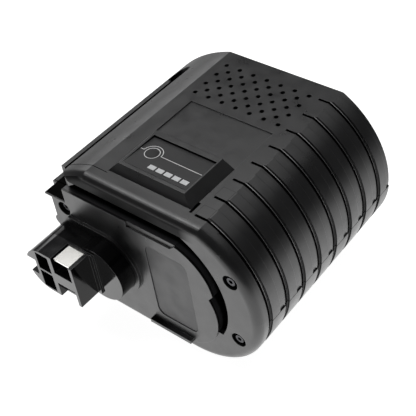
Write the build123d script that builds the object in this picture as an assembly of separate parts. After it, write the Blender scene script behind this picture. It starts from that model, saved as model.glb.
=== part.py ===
from build123d import *
import math
import os

os.makedirs("parts", exist_ok=True)

# A power tool's slide-in battery pack. Looking along +Y at the connector end:
# +X is the round ribbed side, +Z is up and -Y is the end that plugs into the tool.
# The working frame has x = 0 where the ribs start on the flat top, y = 0 at the seam
# between the body and the front cap, and z = 0 at the flat top.

# Body of the pack
BODY_LENGTH = 98.6
BODY_HEIGHT = 84.0
FLAT_LEFT = 59.0
FLAT_RIGHT = 6.5
LEFT_REACH = 91.0
SIDE_REACH = 34.0
SIDE_TAPER = 3.0
MID_DROP = 41.7
BAND_DROP = 19.2
BAND_RADIUS = 80.0
CORNER_RADIUS = 12.0
BACK_EDGE = 0.4
WALL = 2.5
PARTING_DROP = 46.0

# Ribs on the round side
GROOVE_COUNT = 8
LAST_RIB_SHARE = 0.8
GROOVE_PITCH = BODY_LENGTH / (GROOVE_COUNT - 1 + LAST_RIB_SHARE)
GROOVE_WIDTH = 1.2
GROOVE_DEPTH = 1.3
GROOVE_FLARE = 3.0
GROOVE_FLARE_SHIFT = 0.9
RIB_STEP = 5.0
RIB_STEP_SHIFT = 0.6

# Vent holes over the cells
VENT_PITCH = 8.0
VENT_ROWS = 7
VENT_PER_ROW = 7
VENT_DIAMETER = 2.3
VENT_FIRST_X = 53.2
VENT_BACK_MARGIN = 10.4

# Guide channel and rail on the left side
CHANNEL_FLOOR_DROP = 23.3
RAIL_WIDTH = 3.2
CHANNEL_WIDTH = 12.6
CHANNEL_INNER = LEFT_REACH - RAIL_WIDTH - CHANNEL_WIDTH
RAIL_SETBACK = 6.0
CHANNEL_END_MARGIN = 10.6
CHANNEL_END_RADIUS = 4.5

# Shallow finger recess behind the gauge
RECESS_END = 58.0
RECESS_DEPTH = 0.6

# Front cap
CAP_DEPTH = 8.0
CAP_ROUND = 4.0
CAP_ROUND_STEPS = 8
BULKHEAD = 1.0
PLUG_DEPTH = 1.5
LIP_HEIGHT = 8.0
LIP_BEND_X = 65.0
LIP_END_DROP = 15.0
LIP_END_ROUND = 7.0
RIM_CENTRE_X = 20.7
RIM_RADIUS = 37.9
RIM_FOOT_DROP = 60.0

# Raised plate on the cap that the tool's rim runs behind
PLATE_RISE = 0.8
PLATE_WALL = 2.5
PLATE_INSET = 7.0
PLATE_LEFT = LEFT_REACH - PLATE_INSET
FLANGE_INSET = 2.5
PLATE_FLANGE_LEFT = LEFT_REACH - FLANGE_INSET
PLATE_FLANGE = 0.8
PLATE_BOTTOM_DROP = 78.8
PLATE_STEP = 0.5
PLATE_STEP_X = CHANNEL_INNER - PLATE_STEP
PLATE_TOP_DROP = 15.0
SILL_LEFT = 35.2
SILL_RIGHT = 10.2
SILL_DROP = 18.0
NOTCH_RUN = 3.0
UPPER_ARC_RADIUS = 24.3
UPPER_ARC_X = 13.7
UPPER_ARC_DROP = 38.7
UPPER_ARC_END_DROP = 36.0
LOWER_ARC_RADIUS = 26.8
LOWER_ARC_X = 15.8
LOWER_ARC_START_DROP = 39.4
SHELF_LEFT = 31.0
SHELF_WIDTH = 24.5
SHELF_REACH = 2.3
SHELF_TOP_DROP = 74.6
SHELF_THICKNESS = 2.0
LUG_DROP = 40.0
LUG_RADIUS = 3.0

# Rating label on the plate
LABEL_LEFT = 26.2
LABEL_WIDTH = 24.0
LABEL_TOP_DROP = 24.0
LABEL_HEIGHT = 45.0
LABEL_RADIUS = 4.0
LABEL_RECESS = 0.6
LABEL_THICKNESS = 0.25

# Connector: a round barrel with the contact tower on it
BARREL_X = 50.7
BARREL_BELOW_BAR = 3.3
BARREL_RADIUS = 15.0
BARREL_REACH = 19.0
BARREL_WALL = 2.0
COLLAR_RADIUS = 17.5
COLLAR_RISE = 1.6
COLLAR_LEDGE = 23.3
COLLAR_LEDGE_LEFT = BARREL_X + COLLAR_LEDGE
BARREL_ROOM = 4.0
TOWER_REACH = 31.3
TOWER_OFFSET = 1.8
TOWER_RIGHT = BARREL_X + TOWER_OFFSET
TOWER_WINDOW = 9.5
TOWER_HEIGHT = 25.0
TOWER_SQUARE = 19.8
TOWER_ROUND_X = TOWER_RIGHT + TOWER_SQUARE
TOWER_SIDE_WALL = 1.8
TOWER_TOP_WALL = 1.5
TOWER_LEFT_INSIDE = 25.9
TOWER_LEFT_WALL_X = TOWER_RIGHT + TOWER_LEFT_INSIDE
TOWER_RIGHT_INSIDE = 15.9
TOWER_MID_WALL_X = TOWER_RIGHT + TOWER_RIGHT_INSIDE
TOWER_MID_WALL = 2.6
SHELF_BELOW_BAR = 3.6
TOWER_SHELF = 1.2
TOWER_BAR_TOP_DROP = 45.0
TOWER_TOP_DROP = TOWER_BAR_TOP_DROP - TOWER_WINDOW
TOWER_SHELF_DROP = TOWER_BAR_TOP_DROP + SHELF_BELOW_BAR
BARREL_DROP = TOWER_BAR_TOP_DROP + BARREL_BELOW_BAR
TOWER_BAR = 6.5
TOWER_BACK = 1.2
SLOT_ABOVE_BAR = 1.5
TOWER_SLOT_TOP_DROP = TOWER_BAR_TOP_DROP - SLOT_ABOVE_BAR
TOWER_SLOT = 9.5
POCKET_DEPTH = 11.3
TOWER_RIB = 1.0
TOWER_RIB_WIDTH = 2.2
TOWER_NOTCH_DEPTH = 3.7
RETAINER_THICKNESS = 1.8

# Contacts in the tower
CONTACT_THICKNESS = 0.8
UPPER_CONTACT_DROP = 0.7
UPPER_CONTACT_SETBACK = 1.2
LOWER_CONTACT_SETBACK = 4.1
CONTACT_TAIL_INSET = 3.5
CONTACT_TAIL_WIDTH = 3.0
CONTACT_TAIL = 5.0
CONTACT_MARGIN = 0.9
SENSE_WIDTH = 6.0
SENSE_SETBACK = 4.0
SENSE_TAIL = 3.0

# Cap screws
SCREW_RADIUS = 1.5
SCREW_LENGTH = 15.0
SCREW_HEAD_RADIUS = 2.1
SCREW_HEAD = 3.0
SCREW_SOCKET_RADIUS = 1.1
SCREW_SOCKET = 1.4
SCREW_RECESS_RADIUS = 3.8
SCREW_RECESS = 3.6
BOSS_RADIUS = 4.4
BOSS_LENGTH = 17.0
RIGHT_SCREW_X = 21.3
RIGHT_SCREW_DROP = 39.3
RIGHT_SCREW_SPREAD = 18.3
LEFT_SCREW_INSET = 14.3
LEFT_SCREW_X = LEFT_REACH - LEFT_SCREW_INSET
LEFT_SCREW_DROP = 28.0
LEFT_SCREW_SPREAD = 41.0

# Gauge housing on the cap, and the parts of the charge gauge
PAD_LEFT = 50.5
PAD_RIGHT = 3.5
PAD_FRONT = 1.3
PAD_BACK = 30.5
PAD_HEIGHT = 4.8
PAD_SIDE_DRAFT = 4.8
PAD_FRONT_DRAFT = 2.4
PAD_BACK_DRAFT = 1.4
PAD_SEAT = 2.0
PAD_WALL = 1.5
PAD_NOTCH = 1.2
PAD_NOTCH_LENGTH = 6.5
FILM_LEFT = 44.5
FILM_WIDTH = 35.5
FILM_FRONT = 5.6
FILM_LENGTH = 20.4
FILM_THICKNESS = 0.25
FILM_SINK = 1.0
BUTTON_X = 37.4
BUTTON_Y = 16.6
BUTTON_RADIUS = 2.9
BUTTON_TRAVEL = 0.5
BUTTON_PROUD = 0.1
BUTTON_FLANGE = 0.9
BUTTON_FLANGE_THICKNESS = 0.8
BUTTON_STEM_RADIUS = 1.2
BUTTON_STEM = 0.8
LIGHT_COUNT = 5
LIGHT_FIRST_X = 31.0
LIGHT_PITCH = 4.55
LIGHT_Y = 9.2
LIGHT_WIDTH = 3.6
LIGHT_HEIGHT = 2.5
LIGHT_BASE = 1.2
LIGHT_BASE_DEPTH = 6.0
LIGHT_LEG_WIDTH = 2.4
LED_WIDTH = 1.6
LED_DEPTH = 0.8
LED_HEIGHT = 0.7
SWITCH_WIDTH = 6.0
SWITCH_HEIGHT = 3.5
PLUNGER_RADIUS = 1.0
PLUNGER_RISE = 0.7
PLUNGER_DEPTH = 0.6
BOARD_MARGIN = 1.4
BOARD_THICKNESS = 1.6
CHIP_WIDTH = 5.0
CHIP_LENGTH = 4.0
CHIP_HEIGHT = 1.1
RESISTOR_COUNT = 6
RESISTOR_WIDTH = 0.8
RESISTOR_LENGTH = 1.6
RESISTOR_HEIGHT = 0.5
POST_RADIUS = 1.9
POST_INSET = 2.6
BOARD_SCREW_RADIUS = 0.8
BOARD_SCREW_LENGTH = 4.4
BOARD_SCREW_HEAD_RADIUS = 1.6
BOARD_SCREW_HEAD = 1.1

# Cells: ten sticks of two cells in line, in rows of three, four and three
CELL_RADIUS = 11.2
CELL_FRONT_ROOM = 9.6
CELL_CAP_RADIUS = 4.5
CELL_CAP = 0.8
SLEEVE = 0.2
CELL_GAP = 0.1
CELL_GROUP_X = 33.0
LINK_RADIUS = 5.5
LINK_THICKNESS = 0.2
STRAP_WIDTH = 7.0
STRAP_THICKNESS = 0.2
CARD_THICKNESS = 0.4
RIB_THICKNESS = 2.0
RIB_SHARES = (0.365, 0.619)
RIB_BACK_ROOM = 5.6
RIB_PLACES = [share * BODY_LENGTH for share in RIB_SHARES] + [BODY_LENGTH - RIB_BACK_ROOM]
LEAST_FRAME_PIECE = 7.0
FOAM_HEIGHT = 18.0
FOAM_BACK_ROOM = 5.0
CUTOUT_WIDTH = 8.0
CUTOUT_LENGTH = 12.0
CUTOUT_HEIGHT = 4.0
THERMISTOR_RADIUS = 1.5
THERMISTOR_LENGTH = 4.5
TAB_WIDTH = 7.0
TAB_LENGTH = 14.0
TAB_CORNER = 1.75
TAB_THICKNESS = 0.3

# Wires inside the pack
POWER_WIRE_RADIUS = 1.3
POWER_BEND = 3.0
POWER_WIRE_Y = 4.0
SIGNAL_WIRE_RADIUS = 0.6
SIGNAL_BEND = 1.6
SIGNAL_RUN = 4.8
SIGNAL_WIRE_Y = 3.2
SIGNAL_WIRE_SHIFT = 6.6
SIGNAL_WIRE_STEP = 1.9
SIGNAL_CROSS_DROP = 16.8
GAUGE_WIRE_Y = 7.0
GAUGE_WIRE_LEFT = 38.0
GAUGE_WIRE_RIGHT = 15.5
GAUGE_WIRE_LEAD = 4.0

# Clearances
SEAT_GAP = 0.1
RUN_GAP = 0.2
SLIP_GAP = 0.02
TOUCH_GAP = 0.3
OVERRUN = 5.0

# The part's own origin: the middle of its underside
CENTRE_X = (SIDE_REACH - LEFT_REACH) / 2
CENTRE_Y = (BODY_LENGTH - TOWER_REACH) / 2
TO_PART = Pos(-CENTRE_X, -CENTRE_Y, BODY_HEIGHT)

FRONT_FACE = -CAP_DEPTH - PLATE_RISE
SLEEVE_RADIUS = CELL_RADIUS + SLIP_GAP + SLEEVE
CELL_PITCH = 2 * SLEEVE_RADIUS + CELL_GAP
ROW_PITCH = CELL_PITCH * math.sqrt(3) / 2
STICK_END = BODY_LENGTH - WALL - CARD_THICKNESS - STRAP_THICKNESS - SEAT_GAP
STICK_START = CELL_FRONT_ROOM
CELL_LENGTH = (STICK_END - STICK_START - LINK_THICKNESS) / 2
CELL_CAN = CELL_LENGTH - CELL_CAP
BOTTOM_ROW_Z = -BODY_HEIGHT + WALL + SEAT_GAP + SLEEVE_RADIUS


def at(y):
    """The upright plane at y, with x to the right and z up."""
    return Plane(origin=(0, y, 0), x_dir=(1, 0, 0), z_dir=(0, -1, 0))


def slab(face, front, back):
    """A flat outline in x and z, made solid from y = front to y = back."""
    return extrude(at(back) * face, amount=back - front)


def block(x0, x1, y0, y1, z0, z1):
    """A box between two corners."""
    return Pos((x0 + x1) / 2, (y0 + y1) / 2, (z0 + z1) / 2) * Box(x1 - x0, y1 - y0, z1 - z0)


def round_bar(x, z, radius, front, back):
    """A cylinder along y."""
    return slab(Pos(x, z) * Circle(radius), front, back)


def arc(centre, start, end):
    """The shorter arc about a centre, through both ends."""
    middle = Vector(start) + Vector(end) - Vector(centre) * 2
    radius = (Vector(start) - Vector(centre)).length
    return ThreePointArc(start, Vector(centre) + middle.normalized() * radius, end)


def reach_at(y):
    """The round side draws in a little towards the back."""
    return SIDE_REACH - SIDE_TAPER * y / BODY_LENGTH


def band_centre():
    """Centre of the arc that forms the sloping band on the left."""
    run = LEFT_REACH - FLAT_LEFT
    chord = math.hypot(run, BAND_DROP)
    height = math.sqrt(BAND_RADIUS**2 - (chord / 2) ** 2)
    x = -(FLAT_LEFT + LEFT_REACH) / 2 + height * BAND_DROP / chord
    return x, -BAND_DROP / 2 - height * run / chord


def section(reach, inset):
    """Outline of the body across its length, drawn in by inset all round."""
    upper = ((reach - FLAT_RIGHT) ** 2 + MID_DROP**2) / (2 * (reach - FLAT_RIGHT))
    upper_centre = (reach - upper, -MID_DROP)
    lower_centre = (reach - BODY_HEIGHT + MID_DROP, -MID_DROP)
    band = band_centre()
    band_radius = BAND_RADIUS - inset
    right = upper_centre[0] + math.sqrt((upper - inset) ** 2 - (MID_DROP - inset) ** 2)
    left = band[0] - math.sqrt(band_radius**2 - (band[1] + inset) ** 2)
    wall = -LEFT_REACH + inset
    wall_top = band[1] + math.sqrt(band_radius**2 - (wall - band[0]) ** 2)
    corner = (-LEFT_REACH + CORNER_RADIUS, -BODY_HEIGHT + CORNER_RADIUS)
    outline = Line((left, -inset), (right, -inset))
    outline += arc(upper_centre, (right, -inset), (reach - inset, -MID_DROP))
    outline += arc(lower_centre, (reach - inset, -MID_DROP), (lower_centre[0], -BODY_HEIGHT + inset))
    outline += Line((lower_centre[0], -BODY_HEIGHT + inset), (corner[0], -BODY_HEIGHT + inset))
    outline += arc(corner, (corner[0], -BODY_HEIGHT + inset), (wall, corner[1]))
    outline += Line((wall, corner[1]), (wall, wall_top))
    outline += arc(band, (wall, wall_top), (left, -inset))
    return make_face(outline)


def body(inset, front, back):
    """The body's form between two places on its length, drawn in by inset."""
    first = at(front) * section(reach_at(front), inset)
    last = at(back) * section(reach_at(back), inset)
    return loft([first, last], ruled=True)


def above(drop):
    """Everything above a height, wide enough for the whole pack."""
    return block(-LEFT_REACH - OVERRUN, SIDE_REACH + OVERRUN, -TOWER_REACH - OVERRUN,
                 BODY_LENGTH + OVERRUN, -drop, PAD_HEIGHT + OVERRUN)


def body_skin():
    """The whole hollow body with a small bevel round its back edge."""
    turn = BODY_LENGTH - BACK_EDGE
    outer = body(0, 0, turn)
    first = at(turn) * section(reach_at(turn), 0)
    last = at(BODY_LENGTH) * section(reach_at(BODY_LENGTH), BACK_EDGE)
    outer += loft([first, last], ruled=True)
    return outer, outer - body(WALL, -OVERRUN, BODY_LENGTH - WALL)


def side_cut(front, back, keep):
    """A slice round the right side, outside the form that is kept."""
    ring = block(0, SIDE_REACH + OVERRUN, front, back, -BODY_HEIGHT - OVERRUN, OVERRUN)
    return ring - keep


def groove_rings():
    """Cutters for the grooves, which start narrow on the flat top and flare on the side."""
    cutters = []
    for index in range(GROOVE_COUNT):
        middle = index * GROOVE_PITCH
        start, end = middle - GROOVE_PITCH / 2, middle + GROOVE_PITCH / 2
        half = GROOVE_WIDTH / 2
        cutters.append(side_cut(middle - half, middle + half, body(GROOVE_DEPTH, start, end)))
        half = GROOVE_FLARE / 2
        moved = Pos(-GROOVE_FLARE_SHIFT, 0, 0) * body(0, start, end)
        cutters.append(side_cut(middle - half, middle + half, moved))
    return cutters


def rib_steps():
    """Cutters that lower the back part of each rib, more the further round the side."""
    cutters = []
    for index in range(1, GROOVE_COUNT + 1):
        back = min(index * GROOVE_PITCH - GROOVE_WIDTH / 2, BODY_LENGTH)
        front = index * GROOVE_PITCH - GROOVE_WIDTH / 2 - RIB_STEP
        moved = Pos(-RIB_STEP_SHIFT, 0, 0) * body(0, front - GROOVE_WIDTH, BODY_LENGTH + GROOVE_WIDTH)
        cutters.append(side_cut(front, back, moved))
    return cutters


def vent_holes():
    """Staggered rows of small round holes through the flat top."""
    holes = []
    for row in range(VENT_ROWS):
        shift = row % 2
        y = BODY_LENGTH - VENT_BACK_MARGIN - row * VENT_PITCH / 2
        for column in range(VENT_PER_ROW - shift):
            x = -VENT_FIRST_X + (column + shift / 2) * VENT_PITCH
            holes.append(Pos(x, y, -WALL / 2) * Cylinder(VENT_DIAMETER / 2, WALL * 2))
    return holes


def cell_places():
    """Axis of each stick of cells, as x and z, in series order."""
    top = [(-CELL_GROUP_X + step * CELL_PITCH, BOTTOM_ROW_Z + 2 * ROW_PITCH) for step in (-1, 0, 1)]
    middle = [(-CELL_GROUP_X + (1.5 - step) * CELL_PITCH, BOTTOM_ROW_Z + ROW_PITCH) for step in range(4)]
    bottom = [(-CELL_GROUP_X + step * CELL_PITCH, BOTTOM_ROW_Z) for step in (-1, 0, 1)]
    return top + middle + bottom


def screw_places():
    """Cap screws as x and z: the upper ones bite the top shell."""
    right = [(RIGHT_SCREW_X, -RIGHT_SCREW_DROP + side * RIGHT_SCREW_SPREAD) for side in (1, -1)]
    left = [(-LEFT_SCREW_X, -LEFT_SCREW_DROP), (-LEFT_SCREW_X, -LEFT_SCREW_DROP - LEFT_SCREW_SPREAD)]
    upper = [right[0], left[0]]
    lower = [right[1], left[1]]
    return upper, lower


def screw_boss(x, z, limits):
    """A boss with a web to the nearest side wall, kept inside the body."""
    front = PLUG_DEPTH + TOUCH_GAP
    back = front + BOSS_LENGTH
    side = SIDE_REACH if x > 0 else -LEFT_REACH
    web = block(min(x, side), max(x, side), front, back, z - BOSS_RADIUS / 2, z + BOSS_RADIUS / 2)
    boss = (round_bar(x, z, BOSS_RADIUS, front, back) + web) & limits
    return boss - round_bar(x, z, SCREW_RADIUS + SLIP_GAP, front - OVERRUN, back - WALL)


def channel_parts(outer):
    """The guide channel's walls and floor, and the space between them."""
    end = BODY_LENGTH - CHANNEL_END_MARGIN
    rail = -LEFT_REACH + RAIL_WIDTH
    walls = outer & block(-LEFT_REACH - OVERRUN, -CHANNEL_INNER + WALL, 0, end + WALL,
                          -CHANNEL_FLOOR_DROP - WALL, OVERRUN)
    space = block(rail, -CHANNEL_INNER, -OVERRUN, end, -CHANNEL_FLOOR_DROP, OVERRUN)
    upright = space.edges().filter_by(Axis.Z).group_by(Axis.Y)[-1]
    space = fillet(upright, CHANNEL_END_RADIUS)
    over_rail = block(-LEFT_REACH - OVERRUN, rail + RAIL_WIDTH, -OVERRUN,
                      end - CHANNEL_END_RADIUS, -BAND_DROP, OVERRUN)
    mouth = block(-LEFT_REACH - OVERRUN, -CHANNEL_INNER, -OVERRUN, RAIL_SETBACK,
                  -CHANNEL_FLOOR_DROP, OVERRUN)
    return walls, [space, over_rail, mouth]


def gauge_opening():
    """The hole in the flat top that the gauge housing drops into."""
    hole = block(-PAD_LEFT + PAD_SEAT, -PAD_RIGHT - PAD_SEAT, -OVERRUN, PAD_BACK - PAD_SEAT,
                 -WALL * 2, OVERRUN)
    front = block(-PAD_LEFT - SEAT_GAP, -PAD_RIGHT + PAD_NOTCH, -OVERRUN, PAD_NOTCH_LENGTH,
                  -WALL * 2, OVERRUN)
    return hole + front


def top_shell():
    outer, skin = body_skin()
    walls, spaces = channel_parts(outer)
    shell = (skin & above(PARTING_DROP)) + walls
    for x, z in screw_places()[0]:
        shell += screw_boss(x, z, body(WALL / 2, 0, BODY_LENGTH - WALL) & above(PARTING_DROP))
    rib_bottom = BOTTOM_ROW_Z + 2 * ROW_PITCH + SLEEVE_RADIUS + SEAT_GAP
    rib_half = CELL_PITCH + CELL_RADIUS
    for place in RIB_PLACES:
        rib = block(-CELL_GROUP_X - rib_half, -CELL_GROUP_X + rib_half, place,
                    place + RIB_THICKNESS, rib_bottom, OVERRUN)
        shell += rib & body(WALL / 2, 0, BODY_LENGTH - WALL)
    recess = block(-PAD_LEFT, -PAD_RIGHT, PAD_BACK - WALL, RECESS_END, -RECESS_DEPTH, OVERRUN)
    return shell - [*spaces, gauge_opening(), recess, *groove_rings(), *rib_steps(), *vent_holes()]


def bottom_shell():
    outer, skin = body_skin()
    shell = skin - above(PARTING_DROP)
    for x, z in screw_places()[1]:
        shell += screw_boss(x, z, body(WALL / 2, 0, BODY_LENGTH - WALL) - above(PARTING_DROP))
    shell -= underside(OVERRUN)
    shell += underside(0)
    return shell - groove_rings()


def underside(below):
    """The flat underside between the two rounded lower corners, as one plane."""
    left = -LEFT_REACH + CORNER_RADIUS
    right = reach_at(BODY_LENGTH) - BODY_HEIGHT + MID_DROP
    return block(left, right, 0, BODY_LENGTH - BACK_EDGE, -BODY_HEIGHT - below, -BODY_HEIGHT + WALL / 2)


def plate_outline(stepped):
    """Outline of the plate with its two arcs. The proud front layer has a step in its top."""
    upper = (-UPPER_ARC_X, -UPPER_ARC_DROP)
    lower = (-LOWER_ARC_X, -PLATE_BOTTOM_DROP + LOWER_ARC_RADIUS)
    notch_x = -SILL_RIGHT + NOTCH_RUN
    notch_z = upper[1] + math.sqrt(UPPER_ARC_RADIUS**2 - (notch_x - upper[0]) ** 2)
    arc_end = upper[0] + math.sqrt(UPPER_ARC_RADIUS**2 - (UPPER_ARC_END_DROP + upper[1]) ** 2)
    next_x = lower[0] + math.sqrt(LOWER_ARC_RADIUS**2 - (LOWER_ARC_START_DROP + lower[1]) ** 2)
    flange_left = (-PLATE_FLANGE_LEFT, -CHANNEL_FLOOR_DROP)
    flange_foot = -CHANNEL_FLOOR_DROP - PLATE_FLANGE
    outline = Polyline((lower[0], -PLATE_BOTTOM_DROP), (-PLATE_LEFT, -PLATE_BOTTOM_DROP),
                       (-PLATE_LEFT, flange_foot), (-PLATE_FLANGE_LEFT, flange_foot), flange_left,
                       (-PLATE_STEP_X, -CHANNEL_FLOOR_DROP), (-PLATE_STEP_X, -PLATE_TOP_DROP))
    if stepped:
        outline += Polyline((-PLATE_STEP_X, -PLATE_TOP_DROP), (-SILL_LEFT, -PLATE_TOP_DROP),
                            (-SILL_LEFT, -SILL_DROP), (-SILL_RIGHT, -SILL_DROP), (notch_x, notch_z))
    else:
        outline += Polyline((-PLATE_STEP_X, -PLATE_TOP_DROP), (notch_x, -PLATE_TOP_DROP),
                            (notch_x, notch_z))
    outline += arc(upper, (notch_x, notch_z), (arc_end, -UPPER_ARC_END_DROP))
    outline += Line((arc_end, -UPPER_ARC_END_DROP), (next_x, -LOWER_ARC_START_DROP))
    outline += arc(lower, (next_x, -LOWER_ARC_START_DROP), (lower[0], -PLATE_BOTTOM_DROP))
    return make_face(outline)


def rim_space():
    """The space behind the plate's edge that takes the rim of the tool."""
    depth = CAP_DEPTH - BULKHEAD
    front = -CAP_DEPTH - OVERRUN
    back = front + OVERRUN + depth
    centre_z = -MID_DROP
    ring = round_bar(-RIM_CENTRE_X, centre_z, RIM_RADIUS, front, back)
    ring &= block(-RIM_CENTRE_X, SIDE_REACH, front, back, -RIM_FOOT_DROP, -LIP_HEIGHT)
    under_lip = Polyline((-RIM_CENTRE_X, -LIP_HEIGHT), (-LIP_BEND_X, -LIP_HEIGHT),
                         (-CHANNEL_INNER, -LIP_END_DROP), (-LEFT_REACH - OVERRUN, -LIP_END_DROP),
                         (-LEFT_REACH - OVERRUN, -PLATE_BOTTOM_DROP),
                         (-RIM_CENTRE_X, -PLATE_BOTTOM_DROP), close=True)
    return ring + slab(make_face(under_lip), front, back)


def pad_block():
    """The gauge housing's drafted block, with its foot in the opening."""
    base = block(-PAD_LEFT, -PAD_RIGHT, PAD_FRONT, PAD_BACK, 0, PAD_HEIGHT)
    low = Pos((-PAD_LEFT - PAD_RIGHT) / 2, (PAD_FRONT + PAD_BACK) / 2) * Rectangle(
        PAD_LEFT - PAD_RIGHT, PAD_BACK - PAD_FRONT)
    front = PAD_FRONT + PAD_FRONT_DRAFT
    back = PAD_BACK - PAD_BACK_DRAFT
    high = Pos((-PAD_LEFT - PAD_RIGHT) / 2, (front + back) / 2, base.bounding_box().max.Z) * Rectangle(
        PAD_LEFT - PAD_RIGHT - 2 * PAD_SIDE_DRAFT, back - front)
    foot = block(-PAD_LEFT + PAD_SEAT + SEAT_GAP, -PAD_RIGHT - PAD_SEAT - SEAT_GAP, -BULKHEAD,
                 PAD_BACK - PAD_SEAT - SEAT_GAP, -WALL, 0)
    bridge = block(-PAD_LEFT, -PAD_RIGHT, -BULKHEAD, PAD_FRONT + PAD_SEAT, -WALL, 0)
    return loft([low, high], ruled=True) + foot + bridge


def gauge_plane():
    """The sloping plane of the gauge film's top, with w up from it."""
    tilt = math.atan2(FILM_SINK, FILM_LENGTH)
    middle_y = FILM_FRONT + FILM_LENGTH / 2
    middle_z = PAD_HEIGHT - FILM_SINK / 2
    return Plane(origin=(-FILM_LEFT + FILM_WIDTH / 2, middle_y, middle_z), x_dir=(1, 0, 0),
                 z_dir=(0, math.sin(tilt), math.cos(tilt)))


def gauge_box(x0, x1, y0, y1, w0, w1):
    """A box given by its x and y in the pack and its height from the film."""
    plane = gauge_plane()
    local = block(x0 - plane.origin.X, x1 - plane.origin.X, y0 - plane.origin.Y,
                  y1 - plane.origin.Y, w0, w1)
    return plane * local


def gauge_pin(x, y, radius, w0, w1):
    """A cylinder square to the film, from height w0 to w1."""
    plane = gauge_plane()
    place = Pos(x - plane.origin.X, y - plane.origin.Y, (w0 + w1) / 2)
    return plane * (place * Cylinder(radius, w1 - w0))


def light_places():
    return [-LIGHT_FIRST_X + index * LIGHT_PITCH for index in range(LIGHT_COUNT)]


def light_box(x, width, depth, w0, w1):
    return gauge_box(x - width / 2, x + width / 2, LIGHT_Y - depth / 2, LIGHT_Y + depth / 2, w0, w1)


def film_cuts(clearance):
    """Openings for the button and the light windows, through film and housing."""
    top = FILM_SINK + OVERRUN
    low = -FILM_THICKNESS - PAD_WALL - OVERRUN
    cuts = [gauge_pin(-BUTTON_X, BUTTON_Y, BUTTON_RADIUS + clearance, low, top)]
    for x in light_places():
        cuts.append(light_box(x, LIGHT_WIDTH + 2 * clearance, LIGHT_HEIGHT + 2 * clearance, low, top))
    return cuts


WALL_UNDER = -FILM_THICKNESS - PAD_WALL
FLANGE_TOP = WALL_UNDER - TOUCH_GAP
FLANGE_BOTTOM = FLANGE_TOP - BUTTON_FLANGE_THICKNESS
STEM_BOTTOM = FLANGE_BOTTOM - BUTTON_STEM
SWITCH_TOP = STEM_BOTTOM - PLUNGER_RISE
BOARD_TOP = SWITCH_TOP - SWITCH_HEIGHT
BOARD_BOTTOM = BOARD_TOP - BOARD_THICKNESS
CAVITY_LEFT = -FILM_LEFT
CAVITY_RIGHT = -FILM_LEFT + FILM_WIDTH
CAVITY_FRONT = FILM_FRONT - RUN_GAP
CAVITY_BACK = FILM_FRONT + FILM_LENGTH + RUN_GAP
BOARD_LEFT = CAVITY_LEFT + BOARD_MARGIN
BOARD_RIGHT = CAVITY_RIGHT - BOARD_MARGIN
BOARD_FRONT = CAVITY_FRONT + BOARD_MARGIN / 2
BOARD_BACK = CAVITY_BACK - BOARD_MARGIN / 2


def post_places():
    """Posts under the housing that the gauge board is screwed to."""
    return [(BOARD_LEFT + POST_INSET, BOARD_FRONT + POST_INSET),
            (BOARD_RIGHT - POST_INSET, BOARD_BACK - POST_INSET)]


def gauge_hollow():
    """Inside of the housing: the film's seat above and the cavity below."""
    seat = gauge_box(-FILM_LEFT - SEAT_GAP, -FILM_LEFT + FILM_WIDTH + SEAT_GAP, FILM_FRONT - SEAT_GAP,
                     FILM_FRONT + FILM_LENGTH + SEAT_GAP, -FILM_THICKNESS, OVERRUN)
    cavity = gauge_box(CAVITY_LEFT, CAVITY_RIGHT, CAVITY_FRONT, CAVITY_BACK,
                       BOARD_BOTTOM - OVERRUN, WALL_UNDER)
    for x, y in post_places():
        cavity -= gauge_pin(x, y, POST_RADIUS, BOARD_TOP, WALL_UNDER + OVERRUN)
    return [seat, cavity]


def cap_mask():
    """Space at the left of the cap, over the mouth of the guide channel."""
    return block(-LEFT_REACH - OVERRUN, -CHANNEL_INNER, -CAP_DEPTH - OVERRUN, PLUG_DEPTH + OVERRUN,
                 -CHANNEL_FLOOR_DROP, OVERRUN)


def cap_shell():
    """The cap's outer form, rounded at the front in small steps of a quarter circle."""
    start = CAP_ROUND - CAP_DEPTH
    form = slab(section(SIDE_REACH, 0), start, 0)
    turns = [math.pi / 2 * step / CAP_ROUND_STEPS for step in range(CAP_ROUND_STEPS + 1)]
    rings = [at(start - CAP_ROUND * math.sin(turn)) * section(SIDE_REACH, CAP_ROUND * (1 - math.cos(turn)))
             for turn in turns]
    form += [loft([first, last], ruled=True) for first, last in zip(rings, rings[1:])]
    return form


def cap_groove():
    """The cap's half of the first groove, narrow and flared."""
    reach = 2 * GROOVE_FLARE
    inner = slab(section(SIDE_REACH, GROOVE_DEPTH), -reach, reach)
    moved = Pos(-GROOVE_FLARE_SHIFT, 0, 0) * slab(section(SIDE_REACH, 0), -reach, reach)
    flare = block(0, SIDE_REACH + OVERRUN, -GROOVE_FLARE / 2, GROOVE_FLARE / 2,
                  -BODY_HEIGHT - OVERRUN, -GROOVE_FLARE) - moved
    return [side_cut(-GROOVE_WIDTH / 2, GROOVE_WIDTH / 2, inner), flare]


def lip_end():
    """What is cut away beyond the lip's left end, which is round in plan."""
    end = -CHANNEL_INNER + LIP_END_ROUND
    beyond = block(-LEFT_REACH - OVERRUN, end, -CAP_DEPTH - OVERRUN, -BULKHEAD, -LIP_END_DROP, OVERRUN)
    return beyond - Pos(end, -BULKHEAD) * Cylinder(LIP_END_ROUND, LIP_END_DROP + BODY_HEIGHT)


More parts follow.
